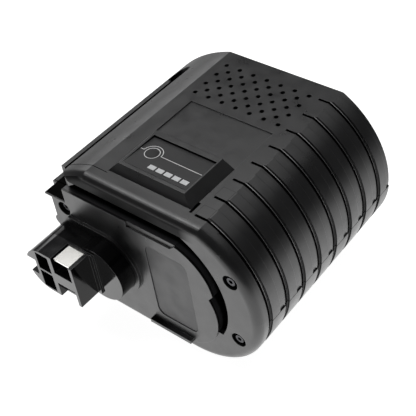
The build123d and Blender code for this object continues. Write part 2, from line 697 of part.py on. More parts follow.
def front_cap():
    plug_gap = WALL + RUN_GAP
    plug = body(plug_gap, 0, PLUG_DEPTH) - channel_keepout()
    cap = cap_shell() - rim_space()
    cap -= lip_end()
    cap += plug
    cap += slab(plate_outline(False), -CAP_DEPTH, -BULKHEAD)
    cap += slab(plate_outline(True), FRONT_FACE, -CAP_DEPTH)
    cap -= cap_mask()
    cap += pad_block()
    collar = round_bar(-BARREL_X, -BARREL_DROP, COLLAR_RADIUS, FRONT_FACE - COLLAR_RISE, FRONT_FACE)
    collar += block(-COLLAR_LEDGE_LEFT, -BARREL_X, FRONT_FACE - COLLAR_RISE, FRONT_FACE,
                    -TOWER_TOP_DROP - TOWER_TOP_WALL, -BARREL_DROP + COLLAR_RADIUS)
    tower_side = slab(tower_outline(SEAT_GAP), FRONT_FACE - COLLAR_RISE - OVERRUN, FRONT_FACE)
    cap += collar - tower_side
    cap += latch_shelf() + lug()
    label = slab(label_outline(0), FRONT_FACE - OVERRUN, FRONT_FACE + LABEL_RECESS)
    bore = round_bar(-BARREL_X, -BARREL_DROP, BARREL_RADIUS + SEAT_GAP, -TOWER_REACH, PLUG_DEPTH)
    cap -= [*plate_hollow(), label, bore, *sense_slots(), *gauge_hollow(), *film_cuts(SEAT_GAP)]
    cap -= cap_groove()
    for x, z in screw_places()[0] + screw_places()[1]:
        face = -CAP_DEPTH if x > 0 else FRONT_FACE
        floor = -CAP_DEPTH + SCREW_RECESS
        cap -= round_bar(x, z, SCREW_RECESS_RADIUS, face - OVERRUN, floor)
        cap -= round_bar(x, z, SCREW_RADIUS + RUN_GAP, floor - SCREW_HEAD, PLUG_DEPTH + OVERRUN)
    for x, y in post_places():
        cap -= gauge_pin(x, y, BOARD_SCREW_RADIUS + SLIP_GAP, BOARD_TOP - OVERRUN,
                         BOARD_BOTTOM + BOARD_SCREW_LENGTH + SEAT_GAP)
    return cap


def plate_hollow():
    """Room behind the plate for the barrel's flange, the contacts and the wires."""
    front = FRONT_FACE + PLATE_WALL
    back = PLUG_DEPTH + OVERRUN
    left = -LEFT_SCREW_X + BOSS_RADIUS + TOUCH_GAP
    reach = COLLAR_RADIUS + BARREL_ROOM
    main = block(left, -LABEL_LEFT + LABEL_WIDTH, front, back, -BARREL_DROP - reach, -BARREL_DROP + reach)
    side_room = block(-PLATE_LEFT + PLATE_WALL, left + WALL, front, back,
                      -TOWER_TOP_DROP - TOWER_HEIGHT - PLATE_WALL, -TOWER_TOP_DROP - PLATE_WALL)
    return [main, side_room]


def latch_shelf():
    """The flat shelf at the foot of the plate that the tool's latch snaps over."""
    return block(-SHELF_LEFT, -SHELF_LEFT + SHELF_WIDTH, FRONT_FACE - SHELF_REACH, FRONT_FACE,
                 -SHELF_TOP_DROP - SHELF_THICKNESS, -SHELF_TOP_DROP)


def lug():
    """A small round lug on the left edge of the plate."""
    return round_bar(-PLATE_LEFT, -LUG_DROP, LUG_RADIUS, FRONT_FACE + PLATE_RISE, -BULKHEAD)


def label_outline(clearance):
    width = LABEL_WIDTH - 2 * clearance
    height = LABEL_HEIGHT - 2 * clearance
    place = Pos(-LABEL_LEFT + LABEL_WIDTH / 2, -LABEL_TOP_DROP - LABEL_HEIGHT / 2)
    return place * RectangleRounded(width, height, LABEL_RADIUS - clearance)


def rating_label():
    back = FRONT_FACE + LABEL_RECESS
    return slab(label_outline(SEAT_GAP), back - LABEL_THICKNESS, back)


def tower_outline(clearance=0.0):
    """Outline of the tower: square on the right, a large round on the left."""
    top = -TOWER_TOP_DROP + clearance
    low = -TOWER_TOP_DROP - TOWER_HEIGHT - clearance
    right = -TOWER_RIGHT + clearance
    centre = (-TOWER_ROUND_X, -TOWER_TOP_DROP - TOWER_HEIGHT / 2)
    radius = TOWER_HEIGHT / 2 + clearance
    square = Pos((right - TOWER_ROUND_X) / 2, centre[1]) * Rectangle(right + TOWER_ROUND_X, top - low)
    return square + Pos(*centre) * Circle(radius)


def tower_pockets():
    """The four contact pockets, the side slot and the open window."""
    front = -TOWER_REACH - OVERRUN
    back = -TOWER_REACH + POCKET_DEPTH
    left = -TOWER_LEFT_WALL_X + TOWER_SIDE_WALL
    middle = -TOWER_MID_WALL_X
    beyond = middle + TOWER_MID_WALL
    right = -TOWER_RIGHT - TOWER_SIDE_WALL
    top = -TOWER_TOP_DROP - TOWER_TOP_WALL
    low = -TOWER_TOP_DROP - TOWER_HEIGHT
    upper_left = block(left, middle, front, back, -TOWER_SHELF_DROP + TOWER_SHELF, top)
    lower_left = block(left, middle, front, back, low + TOWER_BACK, -TOWER_SHELF_DROP)
    window = block(beyond, right, front, back, -TOWER_BAR_TOP_DROP, OVERRUN)
    bar_foot = -TOWER_BAR_TOP_DROP - TOWER_BAR
    lower_right = block(beyond, right, front, back, low + TOWER_BACK, bar_foot)
    notch = block(beyond, right, front, -TOWER_REACH + TOWER_NOTCH_DEPTH, low - OVERRUN, bar_foot)
    beside = -TOWER_ROUND_X - TOWER_HEIGHT / 2 - OVERRUN
    slot = block(beside, -TOWER_LEFT_WALL_X, front, back, -TOWER_SLOT_TOP_DROP - TOWER_SLOT,
                 -TOWER_SLOT_TOP_DROP)
    return [upper_left, lower_left, window, lower_right, notch, slot]


def power_contact_levels():
    """Top of the upper and the lower power contact's blade."""
    return (-TOWER_TOP_DROP - UPPER_CONTACT_DROP,
            -TOWER_TOP_DROP - TOWER_HEIGHT + TOWER_BACK + CONTACT_THICKNESS)


def power_tail_levels():
    """Top of the two tails, both well inside the barrel's bore."""
    return (-TOWER_TOP_DROP - CONTACT_TAIL_INSET,
            -TOWER_TOP_DROP - TOWER_HEIGHT + CONTACT_TAIL_INSET + CONTACT_THICKNESS)


def power_tail_x():
    """Right edge of the narrow tails that run back inside the barrel."""
    return -TOWER_RIGHT - TOWER_SIDE_WALL - CONTACT_MARGIN


def power_slots():
    """Slots through the barrel's face for the tails of the power contacts."""
    cuts = []
    for level in power_tail_levels():
        right = power_tail_x() + SLIP_GAP
        left = power_tail_x() - CONTACT_TAIL_WIDTH - SLIP_GAP
        cuts.append(block(left, right, -TOWER_REACH + POCKET_DEPTH - CONTACT_MARGIN,
                          -BARREL_REACH + BARREL_WALL + OVERRUN,
                          level - CONTACT_THICKNESS - SLIP_GAP, level + SLIP_GAP))
    return cuts


def sense_places():
    """Middle of each signal contact, as x and z, in the two left pockets."""
    x = (-TOWER_LEFT_WALL_X + TOWER_SIDE_WALL - TOWER_MID_WALL_X) / 2
    upper = (-TOWER_TOP_DROP - TOWER_TOP_WALL - TOWER_SHELF_DROP + TOWER_SHELF) / 2
    lower = (-TOWER_SHELF_DROP - TOWER_TOP_DROP - TOWER_HEIGHT + TOWER_BACK) / 2
    return [(x, upper), (x, lower)]


def sense_blade(x, z, front, back, clearance):
    return block(x - CONTACT_THICKNESS / 2 - clearance, x + CONTACT_THICKNESS / 2 + clearance,
                 front, back, z - SENSE_WIDTH / 2 - clearance, z + SENSE_WIDTH / 2 + clearance)


def sense_slots():
    """Slots for the signal contacts through the tower's root and the plate."""
    front = -TOWER_REACH + POCKET_DEPTH - CONTACT_MARGIN
    return [sense_blade(x, z, front, PLUG_DEPTH + OVERRUN, SLIP_GAP) for x, z in sense_places()]


def connector_tower():
    tower = slab(tower_outline(), -TOWER_REACH, FRONT_FACE)
    barrel = round_bar(-BARREL_X, -BARREL_DROP, BARREL_RADIUS, -BARREL_REACH, FRONT_FACE + PLATE_WALL)
    retainer = round_bar(-BARREL_X, -BARREL_DROP, COLLAR_RADIUS, FRONT_FACE + PLATE_WALL,
                         FRONT_FACE + PLATE_WALL + RETAINER_THICKNESS)
    rib = block(-TOWER_RIGHT, -TOWER_RIGHT + TOWER_RIB_WIDTH, -BARREL_REACH - TOWER_RIB, -BARREL_REACH,
                -TOWER_TOP_DROP - TOWER_HEIGHT, -TOWER_TOP_DROP)
    bore = round_bar(-BARREL_X, -BARREL_DROP, BARREL_RADIUS - BARREL_WALL,
                     -BARREL_REACH + BARREL_WALL, PLUG_DEPTH)
    return tower + barrel + retainer + rib - [bore, *tower_pockets(), *power_slots(), *sense_slots()]


def power_contact(upper):
    """A bent strip: a flat blade in its pocket, a leg on the rear wall and a narrow tail."""
    level = power_contact_levels()[0 if upper else 1]
    left = -TOWER_MID_WALL_X + TOWER_MID_WALL + CONTACT_MARGIN
    right = -TOWER_RIGHT - TOWER_SIDE_WALL - CONTACT_MARGIN
    front = -TOWER_REACH + (UPPER_CONTACT_SETBACK if upper else LOWER_CONTACT_SETBACK)
    back = -TOWER_REACH + POCKET_DEPTH - SLIP_GAP
    blade = block(left, right, front, back, level - CONTACT_THICKNESS, level)
    bar_top = -TOWER_BAR_TOP_DROP + SEAT_GAP
    bar_foot = -TOWER_BAR_TOP_DROP - TOWER_BAR - SEAT_GAP
    leg_low, leg_high = (bar_top, level) if upper else (level - CONTACT_THICKNESS, bar_foot)
    leg = block(left, right, back - CONTACT_THICKNESS, back, leg_low, leg_high)
    tail_top = power_tail_levels()[0 if upper else 1]
    tail = block(power_tail_x() - CONTACT_TAIL_WIDTH, power_tail_x(), back - CONTACT_THICKNESS,
                 -BARREL_REACH + BARREL_WALL + CONTACT_TAIL, tail_top - CONTACT_THICKNESS, tail_top)
    return blade + leg + tail


def sense_contacts():
    """Two upright blades for the temperature and the pack signals."""
    blades = []
    for x, z in sense_places():
        front = -TOWER_REACH + SENSE_SETBACK
        blades.append(sense_blade(x, z, front, FRONT_FACE + PLATE_WALL + SENSE_TAIL, 0))
    return Compound(children=blades)


def cap_screws():
    screws = []
    floor = -CAP_DEPTH + SCREW_RECESS
    for x, z in screw_places()[0] + screw_places()[1]:
        shank = round_bar(x, z, SCREW_RADIUS, floor, floor + SCREW_LENGTH)
        head = round_bar(x, z, SCREW_HEAD_RADIUS, floor - SCREW_HEAD, floor)
        socket = at(floor - SCREW_HEAD + SCREW_SOCKET) * (
            Pos(x, z) * RegularPolygon(SCREW_SOCKET_RADIUS, 6))
        screws.append(shank + head - extrude(socket, amount=SCREW_SOCKET + SCREW_HEAD))
    return Compound(children=screws)


def gauge_film():
    film = gauge_box(-FILM_LEFT, -FILM_LEFT + FILM_WIDTH, FILM_FRONT, FILM_FRONT + FILM_LENGTH,
                     -FILM_THICKNESS, 0)
    return film - film_cuts(SEAT_GAP)


def gauge_button():
    """The round key with its flange under the housing and its stem."""
    key = gauge_pin(-BUTTON_X, BUTTON_Y, BUTTON_RADIUS, FLANGE_BOTTOM, BUTTON_PROUD)
    flange = gauge_pin(-BUTTON_X, BUTTON_Y, BUTTON_RADIUS + BUTTON_FLANGE, FLANGE_BOTTOM, FLANGE_TOP)
    stem = gauge_pin(-BUTTON_X, BUTTON_Y, BUTTON_STEM_RADIUS, STEM_BOTTOM, FLANGE_BOTTOM)
    return key + flange + stem


def light_pipe():
    """One clear moulding: a bar with a window and a leg at each light."""
    places = light_places()
    high = FLANGE_TOP
    pipe = gauge_box(places[0] - LIGHT_WIDTH / 2, places[-1] + LIGHT_WIDTH / 2,
                     LIGHT_Y - LIGHT_BASE_DEPTH / 2, LIGHT_Y + LIGHT_BASE_DEPTH / 2,
                     high - LIGHT_BASE, high)
    leg_low = BOARD_TOP + LED_HEIGHT + RUN_GAP
    for x in places:
        pipe += light_box(x, LIGHT_WIDTH, LIGHT_HEIGHT, high - LIGHT_BASE, 0)
        pipe += light_box(x, LIGHT_LEG_WIDTH, LIGHT_HEIGHT, leg_low, high - LIGHT_BASE)
    return pipe


def gauge_leds():
    return Compound(children=[light_box(x, LED_WIDTH, LED_DEPTH, BOARD_TOP, BOARD_TOP + LED_HEIGHT)
                              for x in light_places()])


def gauge_switch():
    half = SWITCH_WIDTH / 2
    case = gauge_box(-BUTTON_X - half, -BUTTON_X + half, BUTTON_Y - half, BUTTON_Y + half,
                     BOARD_TOP, SWITCH_TOP)
    return case - gauge_pin(-BUTTON_X, BUTTON_Y, PLUNGER_RADIUS + SEAT_GAP,
                            SWITCH_TOP - PLUNGER_DEPTH - 2 * BUTTON_TRAVEL, SWITCH_TOP + OVERRUN)


def switch_plunger():
    return gauge_pin(-BUTTON_X, BUTTON_Y, PLUNGER_RADIUS, SWITCH_TOP - PLUNGER_DEPTH, STEM_BOTTOM)


def gauge_board():
    board = gauge_box(BOARD_LEFT, BOARD_RIGHT, BOARD_FRONT, BOARD_BACK, BOARD_BOTTOM, BOARD_TOP)
    for x, y in post_places():
        board -= gauge_pin(x, y, BOARD_SCREW_RADIUS + RUN_GAP, BOARD_BOTTOM - OVERRUN, BOARD_TOP + OVERRUN)
    return board


def board_screws():
    screws = []
    for x, y in post_places():
        shank = gauge_pin(x, y, BOARD_SCREW_RADIUS, BOARD_BOTTOM, BOARD_BOTTOM + BOARD_SCREW_LENGTH)
        head = gauge_pin(x, y, BOARD_SCREW_HEAD_RADIUS, BOARD_BOTTOM - BOARD_SCREW_HEAD, BOARD_BOTTOM)
        screws.append(shank + head)
    return Compound(children=screws)


def gauge_chip():
    x = (BOARD_LEFT + BOARD_RIGHT) / 2
    y = BUTTON_Y
    return gauge_box(x, x + CHIP_WIDTH, y, y + CHIP_LENGTH, BOARD_TOP, BOARD_TOP + CHIP_HEIGHT)


def gauge_resistors():
    """Small parts in a row behind the lights."""
    row = []
    y = LIGHT_Y + LIGHT_BASE_DEPTH / 2 + RESISTOR_LENGTH
    for index in range(RESISTOR_COUNT):
        x = -LIGHT_FIRST_X + (index + 0.5) * LIGHT_PITCH
        row.append(gauge_box(x, x + RESISTOR_WIDTH, y, y + RESISTOR_LENGTH, BOARD_TOP,
                             BOARD_TOP + RESISTOR_HEIGHT))
    return Compound(children=row)


def cell_group(start):
    """Ten cells, every second one turned round, with their raised end caps."""
    cells = []
    for index, (x, z) in enumerate(cell_places()):
        ahead = index % 2 == 0
        can_start = start + CELL_CAP if ahead else start
        cap_start = start if ahead else start + CELL_CAN
        can = round_bar(x, z, CELL_RADIUS, can_start, can_start + CELL_CAN)
        cells.append(can + round_bar(x, z, CELL_CAP_RADIUS, cap_start, cap_start + CELL_CAP))
    return Compound(children=cells)


def sleeve_group(start):
    """The shrink sleeve round each cell of a group."""
    sleeves = []
    for x, z in cell_places():
        tube = round_bar(x, z, SLEEVE_RADIUS, start, start + CELL_LENGTH)
        sleeves.append(tube - round_bar(x, z, CELL_RADIUS + SLIP_GAP, start - OVERRUN,
                                        start + CELL_LENGTH + OVERRUN))
    return Compound(children=sleeves)


def cell_links():
    """Welded discs between the two cells of each stick."""
    start = STICK_START + CELL_LENGTH
    return Compound(children=[round_bar(x, z, LINK_RADIUS, start, start + LINK_THICKNESS)
                              for x, z in cell_places()])


def strap(first, second, front):
    """A flat strap between two cell axes, with round ends."""
    run = Vector(second[0] - first[0], second[1] - first[1])
    turn = math.degrees(math.atan2(run.Y, run.X))
    middle = Pos((first[0] + second[0]) / 2, (first[1] + second[1]) / 2)
    outline = middle * Rot(0, 0, turn) * SlotCenterToCenter(run.length, STRAP_WIDTH)
    return slab(outline, front, front + STRAP_THICKNESS)


def strap_group(first, front):
    """Straps that join the sticks in pairs, from the first index on."""
    places = cell_places()
    pairs = range(first, len(places) - 1, 2)
    return Compound(children=[strap(places[index], places[index + 1], front) for index in pairs])


def output_tab(index):
    """A tab on an end cell, bent forward to take its lead."""
    x, z = cell_places()[index]
    front = STICK_START - TAB_THICKNESS
    return slab(Pos(x, z) * RectangleRounded(TAB_LENGTH, TAB_WIDTH, TAB_CORNER), front, STICK_START)


def insulator_card(front):
    """A fibre card over the straps, in the body's outline."""
    outline = section(reach_at(front + CARD_THICKNESS), WALL + TOUCH_GAP)
    return slab(outline, front, front + CARD_THICKNESS)


def channel_keepout():
    """Room for the guide channel's walls inside the body."""
    return block(-LEFT_REACH - OVERRUN, -CHANNEL_INNER + WALL + TOUCH_GAP, -OVERRUN,
                 BODY_LENGTH + OVERRUN, -CHANNEL_FLOOR_DROP - WALL - TOUCH_GAP, OVERRUN)


def spacer_frame():
    """A frame between the cap and the cells, open in the middle for the leads."""
    front = PLUG_DEPTH + SEAT_GAP
    back = STICK_START - STRAP_THICKNESS - SEAT_GAP
    rim = slab(section(reach_at(back), WALL + TOUCH_GAP), front, back) - channel_keepout()
    places = cell_places()
    left = min(x for x, z in places)
    right = max(x for x, z in places)
    top = places[0][1]
    inner = block(left, right, front - OVERRUN, back + OVERRUN, places[-1][1] - TAB_WIDTH, top)
    open_top = block(places[0][0] - TAB_LENGTH, places[2][0] + TAB_WIDTH, front - OVERRUN,
                     back + OVERRUN, top - TAB_WIDTH, OVERRUN)
    frame = rim - inner - open_top
    for x, z in screw_places()[0] + screw_places()[1]:
        side = SIDE_REACH if x > 0 else -LEFT_REACH
        room = BOSS_RADIUS + TOUCH_GAP
        frame -= round_bar(x, z, room, front - OVERRUN, back + OVERRUN)
        frame -= block(min(x, side), max(x, side), front - OVERRUN, back + OVERRUN, z - room, z + room)
    solids = frame.solids().sort_by(SortBy.VOLUME)
    return Compound(children=[piece for piece in solids if piece.volume > LEAST_FRAME_PIECE**3])


def side_pads():
    """Foam blocks that hold the middle row of cells off the side walls."""
    places = cell_places()
    middle_z = places[3][1]
    right_cell = max(x for x, z in places) + SLEEVE_RADIUS
    left_cell = min(x for x, z in places) - SLEEVE_RADIUS
    start = STICK_START + BOSS_LENGTH - WALL
    end = BODY_LENGTH - FOAM_BACK_ROOM
    low = middle_z - FOAM_HEIGHT / 2
    high = middle_z + FOAM_HEIGHT / 2
    room = body(WALL + SLIP_GAP, start, end)
    right = block(right_cell + SEAT_GAP, SIDE_REACH, start, end, low, high)
    left = block(-LEFT_REACH, left_cell - SEAT_GAP, start, end, low, high)
    return Compound(children=[(right & room).solid(), (left & room).solid()])


def valley_z(offset_x, half_width):
    """Lowest height over two top cells that a box of this half width can have."""
    away = offset_x - half_width
    return cell_places()[0][1] + math.sqrt(SLEEVE_RADIUS**2 - away**2)


def thermal_cutout():
    """The flat thermal switch in the valley between two top cells."""
    x = -CELL_GROUP_X - CELL_PITCH / 2
    low = valley_z(CELL_PITCH / 2, CUTOUT_WIDTH / 2) + SEAT_GAP
    start = RIB_PLACES[0] + RIB_THICKNESS + WALL
    return block(x - CUTOUT_WIDTH / 2, x + CUTOUT_WIDTH / 2, start, start + CUTOUT_LENGTH,
                 low, low + CUTOUT_HEIGHT)


def thermistor():
    """The temperature sensor's bead in the other valley."""
    x = -CELL_GROUP_X + CELL_PITCH / 2
    away = SLEEVE_RADIUS + THERMISTOR_RADIUS + SEAT_GAP
    z = cell_places()[0][1] + math.sqrt(away**2 - (CELL_PITCH / 2) ** 2)
    start = RIB_PLACES[0] + RIB_THICKNESS + WALL
    return round_bar(x, z, THERMISTOR_RADIUS, start, start + THERMISTOR_LENGTH)


def wire(points, radius, bend):
    """A round wire along a path of straight runs with equal bends."""
    path = FilletPolyline(*points, radius=bend)
    start = Plane(origin=path @ 0, z_dir=path % 0)
    return sweep(start * Circle(radius), path=path)


def power_lead(upper):
    """From the tail of a power contact to the tab on its end cell."""
    level = power_tail_levels()[0 if upper else 1] - CONTACT_THICKNESS / 2
    x = power_tail_x() - CONTACT_TAIL_WIDTH / 2
    tab_x, tab_z = cell_places()[0 if upper else -1]
    start = -BARREL_REACH + BARREL_WALL + CONTACT_TAIL
    points = [(x, start, level), (x, POWER_WIRE_Y, level), (tab_x, POWER_WIRE_Y, tab_z),
              (tab_x, STICK_START - TAB_THICKNESS, tab_z)]
    return wire(points, POWER_WIRE_RADIUS, POWER_BEND)


def cutout_wire_z():
    """Height of the wire at the thermal switch's ends."""
    return thermal_cutout().bounding_box().min.Z + 2 * SIGNAL_WIRE_RADIUS


def signal_leads():
    """From the signal contacts to the two sensors, and the wire between these."""
    blade_end = FRONT_FACE + PLATE_WALL + SENSE_TAIL
    turn_y = blade_end + 2 * SIGNAL_BEND
    (x, upper), (x, lower) = sense_places()
    cutout = thermal_cutout().bounding_box()
    bead = thermistor().bounding_box()
    left = cutout.center().X
    left_z = cutout_wire_z()
    right = bead.center().X
    right_z = bead.center().Z
    far = x + SIGNAL_WIRE_SHIFT
    near = far + SIGNAL_WIRE_STEP
    near_y = SIGNAL_WIRE_Y + SIGNAL_WIRE_STEP
    first = [(x, blade_end, upper), (x, turn_y, upper), (near, turn_y, upper), (near, near_y, upper),
             (near, near_y, left_z), (left, near_y, left_z), (left, cutout.min.Y, left_z)]
    second = [(x, blade_end, lower), (x, turn_y, lower), (far, turn_y, lower), (far, SIGNAL_WIRE_Y, lower),
              (far, SIGNAL_WIRE_Y, right_z), (right, SIGNAL_WIRE_Y, right_z), (right, bead.min.Y, right_z)]
    past = cutout.max.Y + SIGNAL_RUN
    between = [(right, bead.max.Y, right_z), (right, bead.max.Y + SIGNAL_RUN, right_z),
               (right, bead.max.Y + SIGNAL_RUN, -SIGNAL_CROSS_DROP), (left, past, -SIGNAL_CROSS_DROP),
               (left, past, left_z), (left, cutout.max.Y, left_z)]
    return Compound(children=[wire(points, SIGNAL_WIRE_RADIUS, SIGNAL_BEND)
                              for points in (first, second, between)])


def gauge_leads():
    """From the gauge board down to the two output tabs."""
    plane = gauge_plane()
    leads = []
    for x, tab, side in ((-GAUGE_WIRE_LEFT, 0, 1), (-GAUGE_WIRE_RIGHT, -1, -1)):
        local = Vector(x - plane.origin.X, GAUGE_WIRE_Y - plane.origin.Y, BOARD_BOTTOM)
        start = plane.from_local_coords(local)
        turn = plane.from_local_coords(local - Vector(0, 0, GAUGE_WIRE_LEAD))
        tab_x, tab_z = cell_places()[tab]
        end_x = tab_x + side * (TAB_WIDTH - SIGNAL_BEND)
        end_z = tab_z + SIGNAL_BEND
        points = [start, turn, (turn.X, turn.Y, end_z), (end_x, turn.Y, end_z),
                  (end_x, STICK_START - TAB_THICKNESS, end_z)]
        if abs(end_x - turn.X) < 2 * SIGNAL_BEND:
            points = [start, turn, (turn.X, turn.Y, end_z), (turn.X, STICK_START - TAB_THICKNESS, end_z)]
        leads.append(wire(points, SIGNAL_WIRE_RADIUS, SIGNAL_BEND))
    return Compound(children=leads)


NODES = {
    "top_shell": top_shell,
    "bottom_shell": bottom_shell,
    "front_cap": front_cap,
    "connector_tower": connector_tower,
    "positive_contact": lambda: power_contact(True),
    "negative_contact": lambda: power_contact(False),
    "signal_contacts": sense_contacts,
    "cap_screws": cap_screws,
    "rating_label": rating_label,
    "gauge_film": gauge_film,
    "gauge_button": gauge_button,
    "light_pipe": light_pipe,
    "gauge_leds": gauge_leds,
    "gauge_switch": gauge_switch,
    "switch_plunger": switch_plunger,
    "gauge_board": gauge_board,
    "board_screws": board_screws,
    "gauge_chip": gauge_chip,
    "gauge_resistors": gauge_resistors,
    "front_cells": lambda: cell_group(STICK_START),
    "rear_cells": lambda: cell_group(STICK_START + CELL_LENGTH + LINK_THICKNESS),
    "front_sleeves": lambda: sleeve_group(STICK_START),
    "rear_sleeves": lambda: sleeve_group(STICK_START + CELL_LENGTH + LINK_THICKNESS),
    "cell_links": cell_links,
    "front_straps": lambda: strap_group(1, STICK_START - STRAP_THICKNESS),
    "rear_straps": lambda: strap_group(0, STICK_END),
    "positive_tab": lambda: output_tab(0),
    "negative_tab": lambda: output_tab(-1),
    "rear_card": lambda: insulator_card(BODY_LENGTH - WALL - CARD_THICKNESS),
    "spacer_frame": spacer_frame,
    "side_pads": side_pads,
    "thermal_cutout": thermal_cutout,
    "thermistor": thermistor,
    "positive_lead": lambda: power_lead(True),
    "negative_lead": lambda: power_lead(False),
    "signal_leads": signal_leads,
    "gauge_leads": gauge_leads,
}


def main():
    for name, make in NODES.items():
        shape = TO_PART * make()
        export_step(shape, f"parts/{name}.step")
        print(name, len(shape.solids()), round(shape.volume, 1))


main()
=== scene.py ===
# %% [markdown]
# This is a slide-in battery pack for a power tool: a black moulded box with a flat top, one
# round ribbed side, and a contact tower at its front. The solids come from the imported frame
# at their real size and place. This script gives them their finishes, prints the film of the
# charge gauge, and sets up a small studio with a camera.

import math

import bmesh
import bpy
from mathutils import Euler, Matrix, Vector


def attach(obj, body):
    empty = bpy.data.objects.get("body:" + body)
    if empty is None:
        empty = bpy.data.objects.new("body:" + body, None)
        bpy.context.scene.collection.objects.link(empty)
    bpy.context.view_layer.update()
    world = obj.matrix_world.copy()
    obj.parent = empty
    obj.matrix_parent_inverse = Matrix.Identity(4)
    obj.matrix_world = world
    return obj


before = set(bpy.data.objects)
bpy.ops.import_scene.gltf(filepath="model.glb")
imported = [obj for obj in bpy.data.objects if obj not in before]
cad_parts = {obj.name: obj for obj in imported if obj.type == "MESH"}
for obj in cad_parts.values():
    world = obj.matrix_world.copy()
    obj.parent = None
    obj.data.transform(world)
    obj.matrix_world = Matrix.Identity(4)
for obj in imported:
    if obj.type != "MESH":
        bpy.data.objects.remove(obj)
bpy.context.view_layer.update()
MM = 0.001
print("nodes:", len(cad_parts))

# %% [markdown]
# The solids' working drawing puts x = 0 where the ribs start, y = 0 at the cap's seam and
# z = 0 at the flat top. The frame has its zero in the middle of the footprint, on the ground.
# Five sizes of the pack give the step between the two, and two helpers take it, so that every
# place below can be given in mm as it stands on the drawing.

# %% Places on the drawing
LEFT_REACH = 91.0
SIDE_REACH = 34.0
TOWER_REACH = 31.3
BODY_LENGTH = 98.6
BODY_HEIGHT = 84.0
ORIGIN = Vector(((LEFT_REACH - SIDE_REACH) / 2, (TOWER_REACH - BODY_LENGTH) / 2, BODY_HEIGHT))


def spot(x, y, z):
    """A place on the drawing in mm, as a position in metres."""
    return (Vector((x, y, z)) + ORIGIN) * MM


def level(axis, value):
    """One coordinate of a place on the drawing in mm, in metres."""
    return (ORIGIN["XYZ".index(axis)] + value) * MM


print("the drawing's zero in metres:", [round(value, 5) for value in spot(0, 0, 0)])

# %% [markdown]
# A finish is a small network of nodes, and a few steps come back in each: an empty material,
# a node with its numbers, a ramp from one range of values to another, a blend of two colours
# and a noise. They could be set up one node at a time in each finish. As helpers they are
# written once, and a finish is left with what is special about it. A Mix node has inputs for
# several kinds of value: its two colours are inputs 6 and 7, and its result is output 2.

# %% Node helpers
FIRST_COLOUR, SECOND_COLOUR, COLOUR_RESULT = 6, 7, 2


def new_material(name):
    """An empty node material, its tree and its Principled shader."""
    material = bpy.data.materials.new(name)
    material.use_nodes = True
    tree = material.node_tree
    return material, tree, tree.nodes["Principled BSDF"]


def add(tree, kind, **inputs):
    """One node with its input values set by name."""
    node = tree.nodes.new(kind)
    for key, value in inputs.items():
        node.inputs[key.replace("_", " ")].default_value = value
    return node


def ramp(tree, value, start, end, low=0.0, high=1.0, kind="LINEAR"):
    """Runs from low at the start to high at the end, and stays level beyond them."""
    node = add(tree, "ShaderNodeMapRange", From_Min=start, From_Max=end, To_Min=low, To_Max=high)
    node.interpolation_type = kind
    tree.links.new(value, node.inputs["Value"])
    return node.outputs["Result"]


def blend(tree, share, first, second, kind="MIX"):
    """Two colours blended by a share; a colour is three numbers or another node's output."""
    node = tree.nodes.new("ShaderNodeMix")
    node.data_type = "RGBA"
    node.blend_type = kind
    tree.links.new(share, node.inputs[0])
    for place, colour in ((FIRST_COLOUR, first), (SECOND_COLOUR, second)):
        if isinstance(colour, tuple):
            node.inputs[place].default_value = (*colour, 1)
        else:
            tree.links.new(colour, node.inputs[place])
    return node.outputs[COLOUR_RESULT]


def noise(tree, scale, detail, roughness):
    """Cloudy noise on Object coordinates, which stays put when the piece moves."""
    coordinates = tree.nodes.new("ShaderNodeTexCoord")
    node = add(tree, "ShaderNodeTexNoise", Scale=scale, Detail=detail, Roughness=roughness)
    tree.links.new(coordinates.outputs["Object"], node.inputs["Vector"])
    return node.outputs["Fac"]


print("node helpers: new_material, add, ramp, blend, noise")

# %% [markdown]
# Moulded plastic is never one flat colour. Its grey drifts a little over a hand's width, a
# fine spark-eroded grain breaks up the shine, and handling polishes it in places. Painted
# pictures could show that, but three noises at three scales need no unwrapping. No moulded
# edge is truly sharp either. On the black mouldings a Bevel node bends the shading softly
# round each edge, because small roundings on every rib and hole would make a heavy mesh.

# %% Moulded plastic
DRIFT_SCALE = 38.0
POLISH_SCALE = 120.0
NOISE_LOW, NOISE_HIGH = 0.3, 0.7
POLISHED, DULLED = 0.05, 0.06
GRAIN_DEPTH = 0.05 * MM
EDGE_SAMPLES = 6


def moulded(name, dark, light, rough, grain, grain_size=0.35, shine=0.5, edge=0.0):
    """Plastic between two shades; the grain's size and the soft edges' radius are in mm."""
    material, tree, shader = new_material(name)
    drift = noise(tree, scale=DRIFT_SCALE, detail=4.0, roughness=0.6)
    polish = noise(tree, scale=POLISH_SCALE, detail=3.0, roughness=0.5)
    spark = noise(tree, scale=1.0 / (grain_size * MM), detail=2.0, roughness=0.6)
    tint = ramp(tree, drift, NOISE_LOW, NOISE_HIGH)
    tree.links.new(blend(tree, tint, dark, light), shader.inputs["Base Color"])
    gloss = ramp(tree, polish, NOISE_LOW, NOISE_HIGH, rough - POLISHED, rough + DULLED)
    tree.links.new(gloss, shader.inputs["Roughness"])
    bump = add(tree, "ShaderNodeBump", Strength=grain, Distance=GRAIN_DEPTH)
    if edge:
        rounding = add(tree, "ShaderNodeBevel", Radius=edge * MM)
        rounding.samples = EDGE_SAMPLES
        tree.links.new(rounding.outputs["Normal"], bump.inputs["Normal"])
    tree.links.new(spark, bump.inputs["Height"])
    tree.links.new(bump.outputs["Normal"], shader.inputs["Normal"])
    shader.inputs["Specular IOR Level"].default_value = shine
    return material


print("grain", round(GRAIN_DEPTH / MM, 3), "mm deep")

# %% [markdown]
# The shells, the cap and the tower are black mouldings, and the tower is the glossier one.
# The gauge's film and the bare label are thin sheets with a quiet sheen, the key in the film
# is darker, and the light windows are milky. The other plastics lie inside and only show when
# the pack is taken apart. All follow the same recipe with other shades, so each takes a line
# or two, and there is no need to build any of them node by node.

